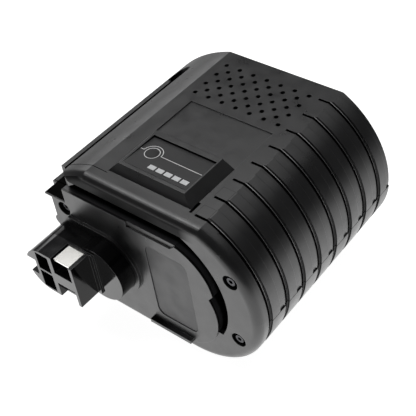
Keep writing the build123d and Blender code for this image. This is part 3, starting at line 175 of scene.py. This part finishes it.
# %% Plastics outside
BODY = moulded("satin_black", dark=(0.012, 0.012, 0.013), light=(0.018, 0.018, 0.019),
               rough=0.32, grain=0.25, shine=0.7, edge=0.3)
TOWER = moulded("tower_black", dark=(0.012, 0.012, 0.013), light=(0.017, 0.017, 0.018),
                rough=0.10, grain=0.03, shine=0.6, edge=0.25)
FILM = moulded("gauge_film", dark=(0.014, 0.014, 0.015), light=(0.018, 0.018, 0.019),
               rough=0.40, grain=0.08)
LABEL = moulded("label_film", dark=(0.060, 0.060, 0.062), light=(0.072, 0.072, 0.074),
                rough=0.42, grain=0.1)
KEY = moulded("key_film", dark=(0.008, 0.008, 0.009), light=(0.012, 0.012, 0.012),
              rough=0.28, grain=0.05)
WINDOW = moulded("light_window", dark=(0.74, 0.75, 0.76), light=(0.82, 0.83, 0.84),
                 rough=0.35, grain=0.05)
OUTSIDE = (BODY, TOWER, FILM, LABEL, KEY, WINDOW)
print("plastics outside:", len(OUTSIDE))

# %% Plastics inside
BOARD = moulded("circuit_board", dark=(0.02, 0.12, 0.05), light=(0.03, 0.17, 0.07),
                rough=0.4, grain=0.1)
CHIP = moulded("chip_case", dark=(0.02, 0.02, 0.02), light=(0.03, 0.03, 0.03),
               rough=0.5, grain=0.1)
LED = moulded("led_lens", dark=(0.6, 0.6, 0.5), light=(0.7, 0.7, 0.6), rough=0.2, grain=0.02)
SLEEVE = moulded("shrink_sleeve", dark=(0.03, 0.18, 0.09), light=(0.04, 0.24, 0.12),
                 rough=0.3, grain=0.05)
CARD = moulded("fibre_card", dark=(0.33, 0.28, 0.20), light=(0.42, 0.36, 0.27),
               rough=0.8, grain=0.3)
FRAME_GREY = moulded("frame_grey", dark=(0.08, 0.08, 0.085), light=(0.11, 0.11, 0.115),
                     rough=0.5, grain=0.2)
FOAM = moulded("foam_pad", dark=(0.02, 0.02, 0.02), light=(0.05, 0.05, 0.05),
               rough=0.9, grain=0.9, grain_size=0.8)
SENSOR = moulded("sensor_epoxy", dark=(0.02, 0.02, 0.025), light=(0.03, 0.03, 0.04),
                 rough=0.3, grain=0.05)
RED = moulded("red_wire", dark=(0.35, 0.01, 0.01), light=(0.45, 0.02, 0.02),
              rough=0.4, grain=0.05)
BLACK = moulded("black_wire", dark=(0.015, 0.015, 0.015), light=(0.025, 0.025, 0.025),
                rough=0.4, grain=0.05)
YELLOW = moulded("yellow_wire", dark=(0.5, 0.38, 0.02), light=(0.6, 0.46, 0.04),
                 rough=0.4, grain=0.05)
BLUE = moulded("blue_wire", dark=(0.02, 0.06, 0.3), light=(0.03, 0.09, 0.4),
               rough=0.4, grain=0.05)
INSIDE = (BOARD, CHIP, LED, SLEEVE, CARD, FRAME_GREY, FOAM, SENSOR, RED, BLACK, YELLOW, BLUE)
print("plastics inside:", len(INSIDE))

# %% [markdown]
# The contacts are bright nickel plate, the cells' cans are steel, and the cap's screws are
# blackened. Metal takes its look from what it mirrors, so its colour stays even, and one fine
# noise makes the mirror uneven and a little scratched.

# %% Metals
SCRATCH_SCALE = 900.0
SCRATCH_STRENGTH = 0.3
SCRATCH_DEPTH = 0.01 * MM
SMOOTHEST, ROUGHEST = 0.7, 1.4


def metal(name, colour, rough):
    """Metal with fine scratches and uneven roughness."""
    material, tree, shader = new_material(name)
    scratches = noise(tree, scale=SCRATCH_SCALE, detail=3.0, roughness=0.6)
    gloss = ramp(tree, scratches, 0.0, 1.0, rough * SMOOTHEST, rough * ROUGHEST)
    tree.links.new(gloss, shader.inputs["Roughness"])
    bump = add(tree, "ShaderNodeBump", Strength=SCRATCH_STRENGTH, Distance=SCRATCH_DEPTH)
    tree.links.new(scratches, bump.inputs["Height"])
    tree.links.new(bump.outputs["Normal"], shader.inputs["Normal"])
    shader.inputs["Base Color"].default_value = (*colour, 1)
    shader.inputs["Metallic"].default_value = 1.0
    return material


NICKEL = metal("nickel_plate", colour=(0.80, 0.79, 0.76), rough=0.22)
STEEL = metal("zinc_steel", colour=(0.55, 0.55, 0.56), rough=0.35)
SCREW = metal("black_oxide", colour=(0.06, 0.06, 0.065), rough=0.38)
METALS = (NICKEL, STEEL, SCREW)
print("metals:", len(METALS))

# %% [markdown]
# Each solid gets one finish. The solids come with plain colours from the frame, so their
# slots are emptied first. One list of pieces and finishes is easier to check against the real
# pack than a line of code for each.

# %% Which piece has which finish
FINISHES = {
    "top_shell": BODY, "bottom_shell": BODY, "front_cap": BODY, "connector_tower": TOWER,
    "positive_contact": NICKEL, "negative_contact": NICKEL, "signal_contacts": NICKEL,
    "cap_screws": SCREW, "rating_label": LABEL, "gauge_film": FILM, "gauge_button": KEY,
    "light_pipe": WINDOW, "gauge_leds": LED, "gauge_switch": CHIP, "switch_plunger": CHIP,
    "gauge_board": BOARD, "board_screws": STEEL, "gauge_chip": CHIP, "gauge_resistors": CHIP,
    "front_cells": STEEL, "rear_cells": STEEL, "front_sleeves": SLEEVE, "rear_sleeves": SLEEVE,
    "cell_links": NICKEL, "front_straps": NICKEL, "rear_straps": NICKEL, "positive_tab": NICKEL,
    "negative_tab": NICKEL, "rear_card": CARD, "spacer_frame": FRAME_GREY, "side_pads": FOAM,
    "thermal_cutout": SENSOR, "thermistor": SENSOR, "positive_lead": RED, "negative_lead": BLACK,
    "signal_leads": YELLOW, "gauge_leads": BLUE,
}
for name, material in FINISHES.items():
    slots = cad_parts[name].data.materials
    slots.clear()
    slots.append(material)
unused = set(OUTSIDE + INSIDE + METALS) - set(FINISHES.values())
print("pieces with a finish:", len(FINISHES), "and finishes left over:", len(unused))

# %% [markdown]
# Some marks on the mouldings are only a hair wide, and some small hollows and roundings hold
# the light off or catch it more than the plain solids do. The finish draws those: the fine
# lines as dark lines, the hollows as painted shade and the roundings as painted highlights. A
# mask is 1 where the mark is and 0 elsewhere, and it is worked out from a point's place and
# from the way its surface faces. It needs no painted picture, stays sharp from close by, and
# is set in mm like the rest of the drawing.

# %% Helpers for masks
def maths(tree, operation, *values):
    """One maths node; a value is a number or another node's output."""
    node = tree.nodes.new("ShaderNodeMath")
    node.operation = operation
    for socket, value in zip(node.inputs, values):
        if isinstance(value, (int, float)):
            socket.default_value = value
        else:
            tree.links.new(value, socket)
    return node.outputs[0]


def where(tree):
    """A point's place and the way its surface faces, each split into X, Y and Z."""
    coordinates = tree.nodes.new("ShaderNodeTexCoord")
    split = []
    for output in ("Object", "Normal"):
        parts = tree.nodes.new("ShaderNodeSeparateXYZ")
        tree.links.new(coordinates.outputs[output], parts.inputs[0])
        split.append(parts.outputs)
    return split


def all_of(tree, *masks):
    """1 only where every mask is 1."""
    product = masks[0]
    for mask in masks[1:]:
        product = maths(tree, "MULTIPLY", product, mask)
    return product


def near(tree, value, middle, half_width):
    """1 within half a width of a middle value, 0 further off."""
    away = maths(tree, "ABSOLUTE", maths(tree, "SUBTRACT", value, middle))
    return maths(tree, "LESS_THAN", away, half_width)


def inside(tree, place, low, high):
    """1 inside a box between two places on the drawing, 0 outside it."""
    spans = zip("XYZ", spot(*low), spot(*high))
    return all_of(tree, *(near(tree, place[axis], (start + end) / 2, (end - start) / 2)
                          for axis, start, end in spans))


def fade(tree, place, axis, start, end):
    """Runs softly from 0 at one level of the drawing to 1 at another."""
    return ramp(tree, place[axis], level(axis, start), level(axis, end), kind="SMOOTHSTEP")


print("mask helpers: maths, where, all_of, near, inside, fade")

# %% [markdown]
# A mask changes three things of a finish: its colour, the strength of its shine, and how matt
# it is. Each new mask works on what the ones before it left, so the marks can overlap. Fewer
# materials with masks are easier to keep alike than one more material for every mark.

# %% Retouching a finish
def retouch(material, mask, tone, shine, matt=0.0):
    """Where the mask is 1, colour times tone, shine times shine and roughness plus matt."""
    tree = material.node_tree
    shader = tree.nodes["Principled BSDF"]
    colour = shader.inputs["Base Color"]
    shaded = blend(tree, mask, colour.links[0].from_socket, (tone, tone, tone), kind="MULTIPLY")
    tree.links.new(shaded, colour)
    strength = shader.inputs["Specular IOR Level"]
    full = strength.links[0].from_socket if strength.links else strength.default_value
    kept = maths(tree, "SUBTRACT", 1.0, maths(tree, "MULTIPLY", mask, 1.0 - shine))
    tree.links.new(maths(tree, "MULTIPLY", kept, full), strength)
    if matt:
        gloss = shader.inputs["Roughness"]
        added = maths(tree, "MULTIPLY", mask, matt)
        tree.links.new(maths(tree, "ADD", gloss.links[0].from_socket, added), gloss)


print("retouching changes the colour, the shine and the roughness")

# %% [markdown]
# The mouldings meet in fine shut lines: the cap against the shells on the left, and the upper
# shell against the lower one all round. The real gap is a fraction of a millimetre wide, and
# dark because hardly any light gets out of it. The solids meet face to face and leave no gap,
# so each line is the thin layer of surface next to the plane where two of them meet.

# %% Shut lines
LINE_HALF = 0.2
SEAM_END_X = -50.0
PARTING_DROP = 46.0
SHELLS_LOW, SHELLS_HIGH = (-99.0, 0.2, -50.0), (40.0, 99.0, -42.0)
FACES_UP = 0.9

body = BODY.node_tree
place, facing = where(body)
seam = near(body, place["Y"], level("Y", 0.0), LINE_HALF * MM)
seam_part = maths(body, "LESS_THAN", place["X"], level("X", SEAM_END_X))
parting = near(body, place["Z"], level("Z", -PARTING_DROP), LINE_HALF * MM)
shells = inside(body, place, SHELLS_LOW, SHELLS_HIGH)
upright = maths(body, "LESS_THAN", facing["Z"], FACES_UP)
shut_lines = maths(body, "MAXIMUM", all_of(body, seam, seam_part),
                   all_of(body, parting, shells, upright))
retouch(BODY, shut_lines, tone=0.05, shine=0.0, matt=0.5)
print("shut lines", 2 * LINE_HALF, "mm wide")

# %% [markdown]
# The rim of the tool's opening slides into a groove round the raised plate. It is deep and
# narrow, so shade makes its far end black, while its walls near the mouth still catch some
# light. The step behind the gauge's film is a smaller hollow of the same kind. The lamps alone
# leave both too grey, so the finish paints their shade in, darker and less glossy, and paints
# light onto the groove's walls near the mouth. A soft fade along the depth looks more like
# shadow than a hard border does.

# %% Painted shade in the rim's groove and behind the film, painted light at the groove's mouth
RIM_LOW, RIM_HIGH = (-77.0, -7.6, -78.7), (17.3, -0.5, -8.1)
RIM_DARK_FROM, RIM_DARK_TO = -6.4, -4.4
MOUTH_BACK = -4.0
MOUTH_LIGHT_FROM, MOUTH_LIGHT_TO = -4.6, -6.0
STEP_LOW, STEP_HIGH = (-45.0, 25.8, 2.4), (-8.5, 26.6, 4.7)

# Painted shade: the groove's far end and the wall of the step behind the film are darkened and
# dulled.
groove = all_of(body, inside(body, place, RIM_LOW, RIM_HIGH),
                fade(body, place, "Y", RIM_DARK_FROM, RIM_DARK_TO))
step = all_of(body, inside(body, place, STEP_LOW, STEP_HIGH), upright)
retouch(BODY, maths(body, "MAXIMUM", groove, step), tone=0.2, shine=0.12, matt=0.4)
# Painted light: the groove's walls near the mouth are made six times lighter.
mouth_high = (RIM_HIGH[0], MOUTH_BACK, RIM_HIGH[2])
mouth_painted_light = all_of(body, inside(body, place, RIM_LOW, mouth_high),
               fade(body, place, "Y", MOUTH_LIGHT_FROM, MOUTH_LIGHT_TO))
retouch(BODY, mouth_painted_light, tone=6.0, shine=1.0)
print("groove black from", -RIM_DARK_TO, "mm in front of the seam inwards")

# %% [markdown]
# The lip is the front edge of the cap under the flat top. On the real pack it rolls over
# towards the groove and turns away from the light, so it darkens downwards. Here its front is
# upright, and the mask paints in the shade of the roundness that is missing. Towards the round
# side the lip goes over into the rim's bend, so the painted shade fades out along x as well.

# %% The lip's painted shade
LIP_LOW, LIP_HIGH = (-74.0, -9.0, -8.3), (6.0, -7.0, -2.5)
LIP_TURNS_FROM, LIP_TURNS_TO = -1.8, -3.2
LIP_ENDS_AT, LIP_FULL_AT = 6.0, -4.0

# Painted shade: the lip's front darkens downwards and loses most of its shine.
lip_painted_shade = all_of(body, inside(body, place, LIP_LOW, LIP_HIGH),
             fade(body, place, "Z", LIP_TURNS_FROM, LIP_TURNS_TO),
             fade(body, place, "X", LIP_ENDS_AT, LIP_FULL_AT))
retouch(BODY, lip_painted_shade, tone=0.6, shine=0.06)
print("lip_painted_shade", LIP_HIGH[0] - LIP_LOW[0], "mm long")

# %% [markdown]
# On the left a thin rail stands beside the channel for the tool's guide. From this camera the
# channel is a black line of shade next to the rail's light, rounded top. The edge of the flat
# top would hide the channel, so its painted shade starts on the inner 0.9 mm of the rail, and
# a stronger shine on the rail paints the highlight of its rounded top. Both marks are long
# straight bands, so a box on the drawing is enough for each.

# %% Painted shade in the slot, painted highlight on the rail
SLOT_LOW, SLOT_HIGH = (-88.7, -8.2, -23.5), (-75.0, 84.0, -12.0)
RAIL_LOW, RAIL_HIGH = (-91.3, -8.2, -20.0), (-88.7, 84.0, -18.5)

# Painted shade in the slot.
retouch(BODY, inside(body, place, SLOT_LOW, SLOT_HIGH), tone=0.15, shine=0.05, matt=0.5)
# Painted highlight on the rail: a stronger shine.
retouch(BODY, inside(body, place, RAIL_LOW, RAIL_HIGH), tone=1.0, shine=1.6)
print("slot and rail", round(SLOT_HIGH[1] - SLOT_LOW[1], 1), "mm long")

# %% [markdown]
# Eight grooves run round the side, one at the start of each rib. They are narrow and deep,
# so shade makes them black, and the edge of the rib behind each one catches the light as a
# fine line that is brightest near the top. The finish paints both: painted shade in the
# grooves, and a painted highlight along each edge, four times lighter and much shinier. The
# grooves repeat with one pitch, so a point's distance from the nearest groove comes from its
# y, rounded to the pitch: one mask for all of them.

# %% Rib grooves: painted shade in them, painted highlights on their edges
RIBS_ALONG = 7.8
GROOVE_PITCH = BODY_LENGTH / RIBS_ALONG * MM
RIBS_LOW, RIBS_HIGH = (-0.2, -1.0, -84.5), (50.0, 89.6, 0.5)
GROOVE_HALF = 0.62
EDGE_BEHIND, EDGE_HALF = 0.78, 0.13
EDGE_DIM_AT, EDGE_BRIGHT_AT = -42.0, -12.0

pitches = maths(body, "DIVIDE", maths(body, "SUBTRACT", place["Y"], level("Y", 0.0)), GROOVE_PITCH)
nearest = maths(body, "ROUND", pitches)
beside = maths(body, "MULTIPLY", maths(body, "SUBTRACT", pitches, nearest), GROOVE_PITCH)
ribs = inside(body, place, RIBS_LOW, RIBS_HIGH)
# Painted shade in the grooves.
groove_painted_shade = near(body, beside, 0.0, GROOVE_HALF * MM)
retouch(BODY, all_of(body, groove_painted_shade, ribs), tone=0.15, shine=0.05, matt=0.5)
# Painted highlight along the rib edges, strongest near the top.
edge_painted_highlight = near(body, beside, EDGE_BEHIND * MM, EDGE_HALF * MM)
lit = fade(body, place, "Z", EDGE_DIM_AT, EDGE_BRIGHT_AT)
retouch(BODY, all_of(body, edge_painted_highlight, ribs, lit, upright), tone=4.0, shine=7.0)
print("a groove every", round(GROOVE_PITCH / MM, 2), "mm")

# %% [markdown]
# Moulding tools leave faint witness marks where an insert or a pin met the plastic. Two small
# embossed squares lie on the flat top beside the first ribs. The solids leave their low relief
# out, so only their outlines are drawn, a shade darker and less glossy than the top: painted
# shade along the squares' edges. The larger of the two distances from the square's centre
# lines is the same all round a square, so one level of it draws the outline.

# %% Witness marks, drawn as painted shade
MARK_HALF = 3.2
MARK_LINE = 0.12
MARK_X = 2.6
MARK_YS = (3.4, 16.2)
MARKS_LOW, MARKS_HIGH = (-1.5, -1.0, -4.0), (8.0, 22.0, 0.1)

flat_top = inside(body, place, MARKS_LOW, MARKS_HIGH)
for mark_y in MARK_YS:
    away = [maths(body, "ABSOLUTE", maths(body, "SUBTRACT", place[axis], level(axis, middle)))
            for axis, middle in (("X", MARK_X), ("Y", mark_y))]
    # Painted shade along the square's outline.
    square_edge_painted_shade = near(body, maths(body, "MAXIMUM", *away), MARK_HALF * MM, MARK_LINE * MM)
    retouch(BODY, all_of(body, square_edge_painted_shade, flat_top), tone=0.6, shine=0.55)
print("witness marks:", len(MARK_YS))

# %% [markdown]
# The connector is its own moulding, in a glossier plastic than the shells. Its round barrel
# lies in the shade of the body, and the walls that face the round side are darker than its
# front. A card held up beside it would shade them too, but it would shade the plate as well.
# So two masks paint that shade in, darker and less glossy, one by where a surface lies and
# both by how it faces.

# %% The connector's painted shade
BARREL_LOW, BARREL_HIGH = (-80.0, -18.6, -66.0), (-40.0, 2.0, -30.0)
FACES_FRONT = -0.5
FACES_SIDE = 0.6

tower = TOWER.node_tree
tower_place, tower_facing = where(tower)
barrel_painted_shade = inside(tower, tower_place, BARREL_LOW, BARREL_HIGH)
not_front = maths(tower, "GREATER_THAN", tower_facing["Y"], FACES_FRONT)
side_painted_shade = maths(tower, "GREATER_THAN", tower_facing["X"], FACES_SIDE)
# Painted shade on the barrel and on the walls that face the round side.
retouch(TOWER, all_of(tower, barrel_painted_shade, not_front), tone=0.5, shine=0.25)
retouch(TOWER, side_painted_shade, tone=0.6, shine=0.35)
print("nodes in the two black finishes:", len(body.nodes), len(tower.nodes))

# %% [markdown]
# The gauge film carries a fine white print: a ring round the key, an arc over it and a thin
# line that runs off to both sides. It is screen-printed ink, a few hundredths of a millimetre
# thick. A mask could draw it too. As thin solids laid on the film it has an edge of its own
# and stays sharp from any distance, and it needs nothing but circles, a bridge and an
# extrusion. The shapes are drawn flat about the film's middle and tilted into its plane.

# %% Ink helpers
INK = moulded("white_ink", dark=(0.78, 0.78, 0.78), light=(0.86, 0.86, 0.86),
              rough=0.45, grain=0.05)
INK_THICKNESS = 0.03 * MM
INK_WIDTH = 0.35
FILM_RISE, FILM_RUN = 1.0, 20.4
FILM_TILT = math.atan2(FILM_RISE, FILM_RUN)
FILM_MIDDLE = spot(-26.75, 15.8, 4.3)
RING_SEGMENTS = 96


def from_middle(x, y):
    """A place on the drawing, as a flat step from the film's middle."""
    step = spot(x, y, 0) - FILM_MIDDLE
    return Vector((step.x, step.y, 0))


def flat_ring(x, y, radius):
    """A flat ring of ink, bridged between two circles."""
    shape = bmesh.new()
    centre = Matrix.Translation(from_middle(x, y))
    edges = []
    for size in (radius - INK_WIDTH / 2, radius + INK_WIDTH / 2):
        circle = bmesh.ops.create_circle(shape, segments=RING_SEGMENTS, radius=size * MM,
                                         matrix=centre)
        edges += list({edge for vert in circle["verts"] for edge in vert.link_edges})
    bmesh.ops.bridge_loops(shape, edges=edges)
    return shape


def flat_bar(start_x, end_x, y):
    """A flat bar of ink along x."""
    shape = bmesh.new()
    middle = Matrix.Translation(from_middle((start_x + end_x) / 2, y))
    size = Matrix.Diagonal(((end_x - start_x) * MM, INK_WIDTH * MM, 1, 1))
    bmesh.ops.create_grid(shape, x_segments=1, y_segments=1, size=0.5, matrix=middle @ size)
    return shape


def ink_piece(name, shape):
    """Gives a flat shape its ink's thickness and lays it on the film."""
    top = bmesh.ops.extrude_face_region(shape, geom=shape.faces[:])
    verts = [part for part in top["geom"] if isinstance(part, bmesh.types.BMVert)]
    bmesh.ops.translate(shape, verts=verts, vec=(0, 0, INK_THICKNESS))
    bmesh.ops.recalc_face_normals(shape, faces=shape.faces[:])
    shape.transform(Matrix.Translation(FILM_MIDDLE) @ Matrix.Rotation(-FILM_TILT, 4, "X"))
    data = bpy.data.meshes.new(name)
    shape.to_mesh(data)
    shape.free()
    data.materials.append(INK)
    piece = bpy.data.objects.new(name, data)
    bpy.context.scene.collection.objects.link(piece)
    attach(piece, "pack")
    return piece


print("film tilted", round(math.degrees(FILM_TILT), 2), "degrees")

# %% [markdown]
# The ring goes right round the key. The arc is a wider ring about the same centre, cut off by
# a plane through it, so that only the half behind the key's middle stays. The line lies about
# level with that middle and stops at the arc on both sides, so it is two bars.

# %% The print on the film
KEY_X, KEY_Y = -37.4, 16.6
RING_RADIUS = 3.5
ARC_RADIUS = 4.9
LINE_Y = 16.75
LEFT_LINE = (-44.2, -42.1)
RIGHT_LINE = (-32.7, -9.6)

ring = ink_piece("ink_ring", flat_ring(KEY_X, KEY_Y, RING_RADIUS))
arc_shape = flat_ring(KEY_X, KEY_Y, ARC_RADIUS)
bmesh.ops.bisect_plane(arc_shape, geom=arc_shape.verts[:] + arc_shape.edges[:] + arc_shape.faces[:],
                       plane_co=from_middle(KEY_X, KEY_Y), plane_no=(0, 1, 0), clear_inner=True)
arc = ink_piece("ink_arc", arc_shape)
left_line = ink_piece("ink_line_left", flat_bar(*LEFT_LINE, LINE_Y))
right_line = ink_piece("ink_line_right", flat_bar(*RIGHT_LINE, LINE_Y))
for piece in (ring, arc, left_line, right_line):
    print(piece.name, "faces:", len(piece.data.polygons))

# %% [markdown]
# The photograph looks down on the pack's front right corner with a long lens, which keeps
# edges that are parallel nearly so. The camera could be pointed with a Track To constraint,
# but the picture is also turned a little about the line of sight. So its place and its three
# turns are set, and the corners fall where they do in the photograph's square picture.

# %% Camera
LENS, SENSOR = 84.93, 36.0
CAMERA_PLACE = (0.23974, -0.23319, 0.35731)
CAMERA_TURNS = (46.634, 6.920, 39.058)
NEAR_CLIP, FAR_CLIP = 0.01, 10.0

camera_data = bpy.data.cameras.new("camera")
camera_data.lens = LENS
camera_data.sensor_width = SENSOR
camera_data.clip_start, camera_data.clip_end = NEAR_CLIP, FAR_CLIP
camera = bpy.data.objects.new("camera", camera_data)
turned = Euler([math.radians(turn) for turn in CAMERA_TURNS]).to_matrix().to_4x4()
camera.matrix_world = Matrix.Translation(CAMERA_PLACE) @ turned
bpy.context.scene.collection.objects.link(camera)
bpy.context.scene.camera = camera
print("camera", round(Vector(CAMERA_PLACE).length, 3), "m from the middle of the footprint")

# %% [markdown]
# The photographer's table is white to the picture's edge. A white lamp-lit floor would do, but
# it would throw light back onto the pack. So the floor is a middling matt grey with the
# pack's shadow on it, and a glow is added for rays that come straight from the camera, which
# makes it white. Rays from a reflection or through glass get a glow as well, strong in a pool
# near the pack and weak further off, so that the gloss shows a table that ends.

# %% Floor
FLOOR_HALF = 3.0
FLOOR_GREY = (0.55, 0.55, 0.55)
FLOOR_ROUGH = 0.9
CAMERA_GLOW = 0.96
POOL_MIDDLE = (0.2, -0.3, 0.0)
POOL_EDGE, POOL_END = 0.35, 0.6
POOL_GLOW, FAR_GLOW = 1.4, 0.15

floor_mesh = bmesh.new()
bmesh.ops.create_grid(floor_mesh, x_segments=1, y_segments=1, size=FLOOR_HALF)
floor_data = bpy.data.meshes.new("floor")
floor_mesh.to_mesh(floor_data)
floor_mesh.free()
floor = bpy.data.objects.new("floor", floor_data)
bpy.context.scene.collection.objects.link(floor)
print("floor", 2 * FLOOR_HALF, "m wide")

# %% The floor's finish
table, tree, shader = new_material("white_table")
shader.inputs["Base Color"].default_value = (*FLOOR_GREY, 1)
shader.inputs["Roughness"].default_value = FLOOR_ROUGH
shader.inputs["Specular IOR Level"].default_value = 0.0
ray = tree.nodes.new("ShaderNodeLightPath").outputs
coordinates = tree.nodes.new("ShaderNodeTexCoord")
distance = tree.nodes.new("ShaderNodeVectorMath")
distance.operation = "DISTANCE"
distance.inputs[1].default_value = POOL_MIDDLE
tree.links.new(coordinates.outputs["Object"], distance.inputs[0])
pool = ramp(tree, distance.outputs["Value"], POOL_EDGE, POOL_END, POOL_GLOW, FAR_GLOW)
indirect = maths(tree, "MAXIMUM", ray["Is Glossy Ray"], ray["Is Transmission Ray"])
mirrored = maths(tree, "MULTIPLY", indirect, pool)
strength = maths(tree, "MULTIPLY_ADD", ray["Is Camera Ray"], CAMERA_GLOW, mirrored)
glow = add(tree, "ShaderNodeEmission", Color=(1, 1, 1, 1))
tree.links.new(strength, glow.inputs["Strength"])
both = tree.nodes.new("ShaderNodeAddShader")
tree.links.new(shader.outputs[0], both.inputs[0])
tree.links.new(glow.outputs[0], both.inputs[1])
tree.links.new(both.outputs[0], tree.nodes["Material Output"].inputs["Surface"])
floor_data.materials.append(table)
print("nodes in the floor's finish:", len(tree.nodes))

# %% [markdown]
# Black plastic shows its shape by its highlights. Small lamps would make hard sparks of them,
# and large soft boxes make them broad and quiet. Two boxes stand over the left side, a
# weaker one behind the pack, and a low one far out at the back left gives a grazing sheen.
# The world adds only a little, so that the hollows stay dark.

# %% Studio light
SKY_STRENGTH = 0.08

world = bpy.data.worlds.new("studio")
world.use_nodes = True
bpy.context.scene.world = world
sky = world.node_tree.nodes["Background"]
sky.inputs["Color"].default_value = (1, 1, 1, 1)
sky.inputs["Strength"].default_value = SKY_STRENGTH


def softbox(name, place, aim_height, size, power):
    """A square lamp that faces a point above the middle of the footprint."""
    lamp_data = bpy.data.lights.new(name, "AREA")
    lamp_data.size = size
    lamp_data.energy = power
    lamp = bpy.data.objects.new(name, lamp_data)
    lamp.location = place
    lamp.rotation_mode = "QUATERNION"
    aim = Vector((0, 0, aim_height)) - Vector(place)
    lamp.rotation_quaternion = aim.to_track_quat("-Z", "Y")
    bpy.context.scene.collection.objects.link(lamp)
    return lamp


lamps = [
    softbox("top_box", place=(-0.35, 0.28, 1.0), aim_height=0.05, size=0.7, power=3.5),
    softbox("front_box", place=(-0.64, -0.12, 1.02), aim_height=0.04, size=0.5, power=2.6),
    softbox("back_box", place=(0.30, 0.62, 1.0), aim_height=0.05, size=0.7, power=1.2),
    softbox("side_card", place=(-1.02, 0.64, 0.42), aim_height=0.07, size=0.5, power=1.3),
]
print("lamps:", len(lamps))

# %% [markdown]
# The Standard view shows each colour as it is written.

# %% Colour management
bpy.context.scene.view_settings.view_transform = "Standard"
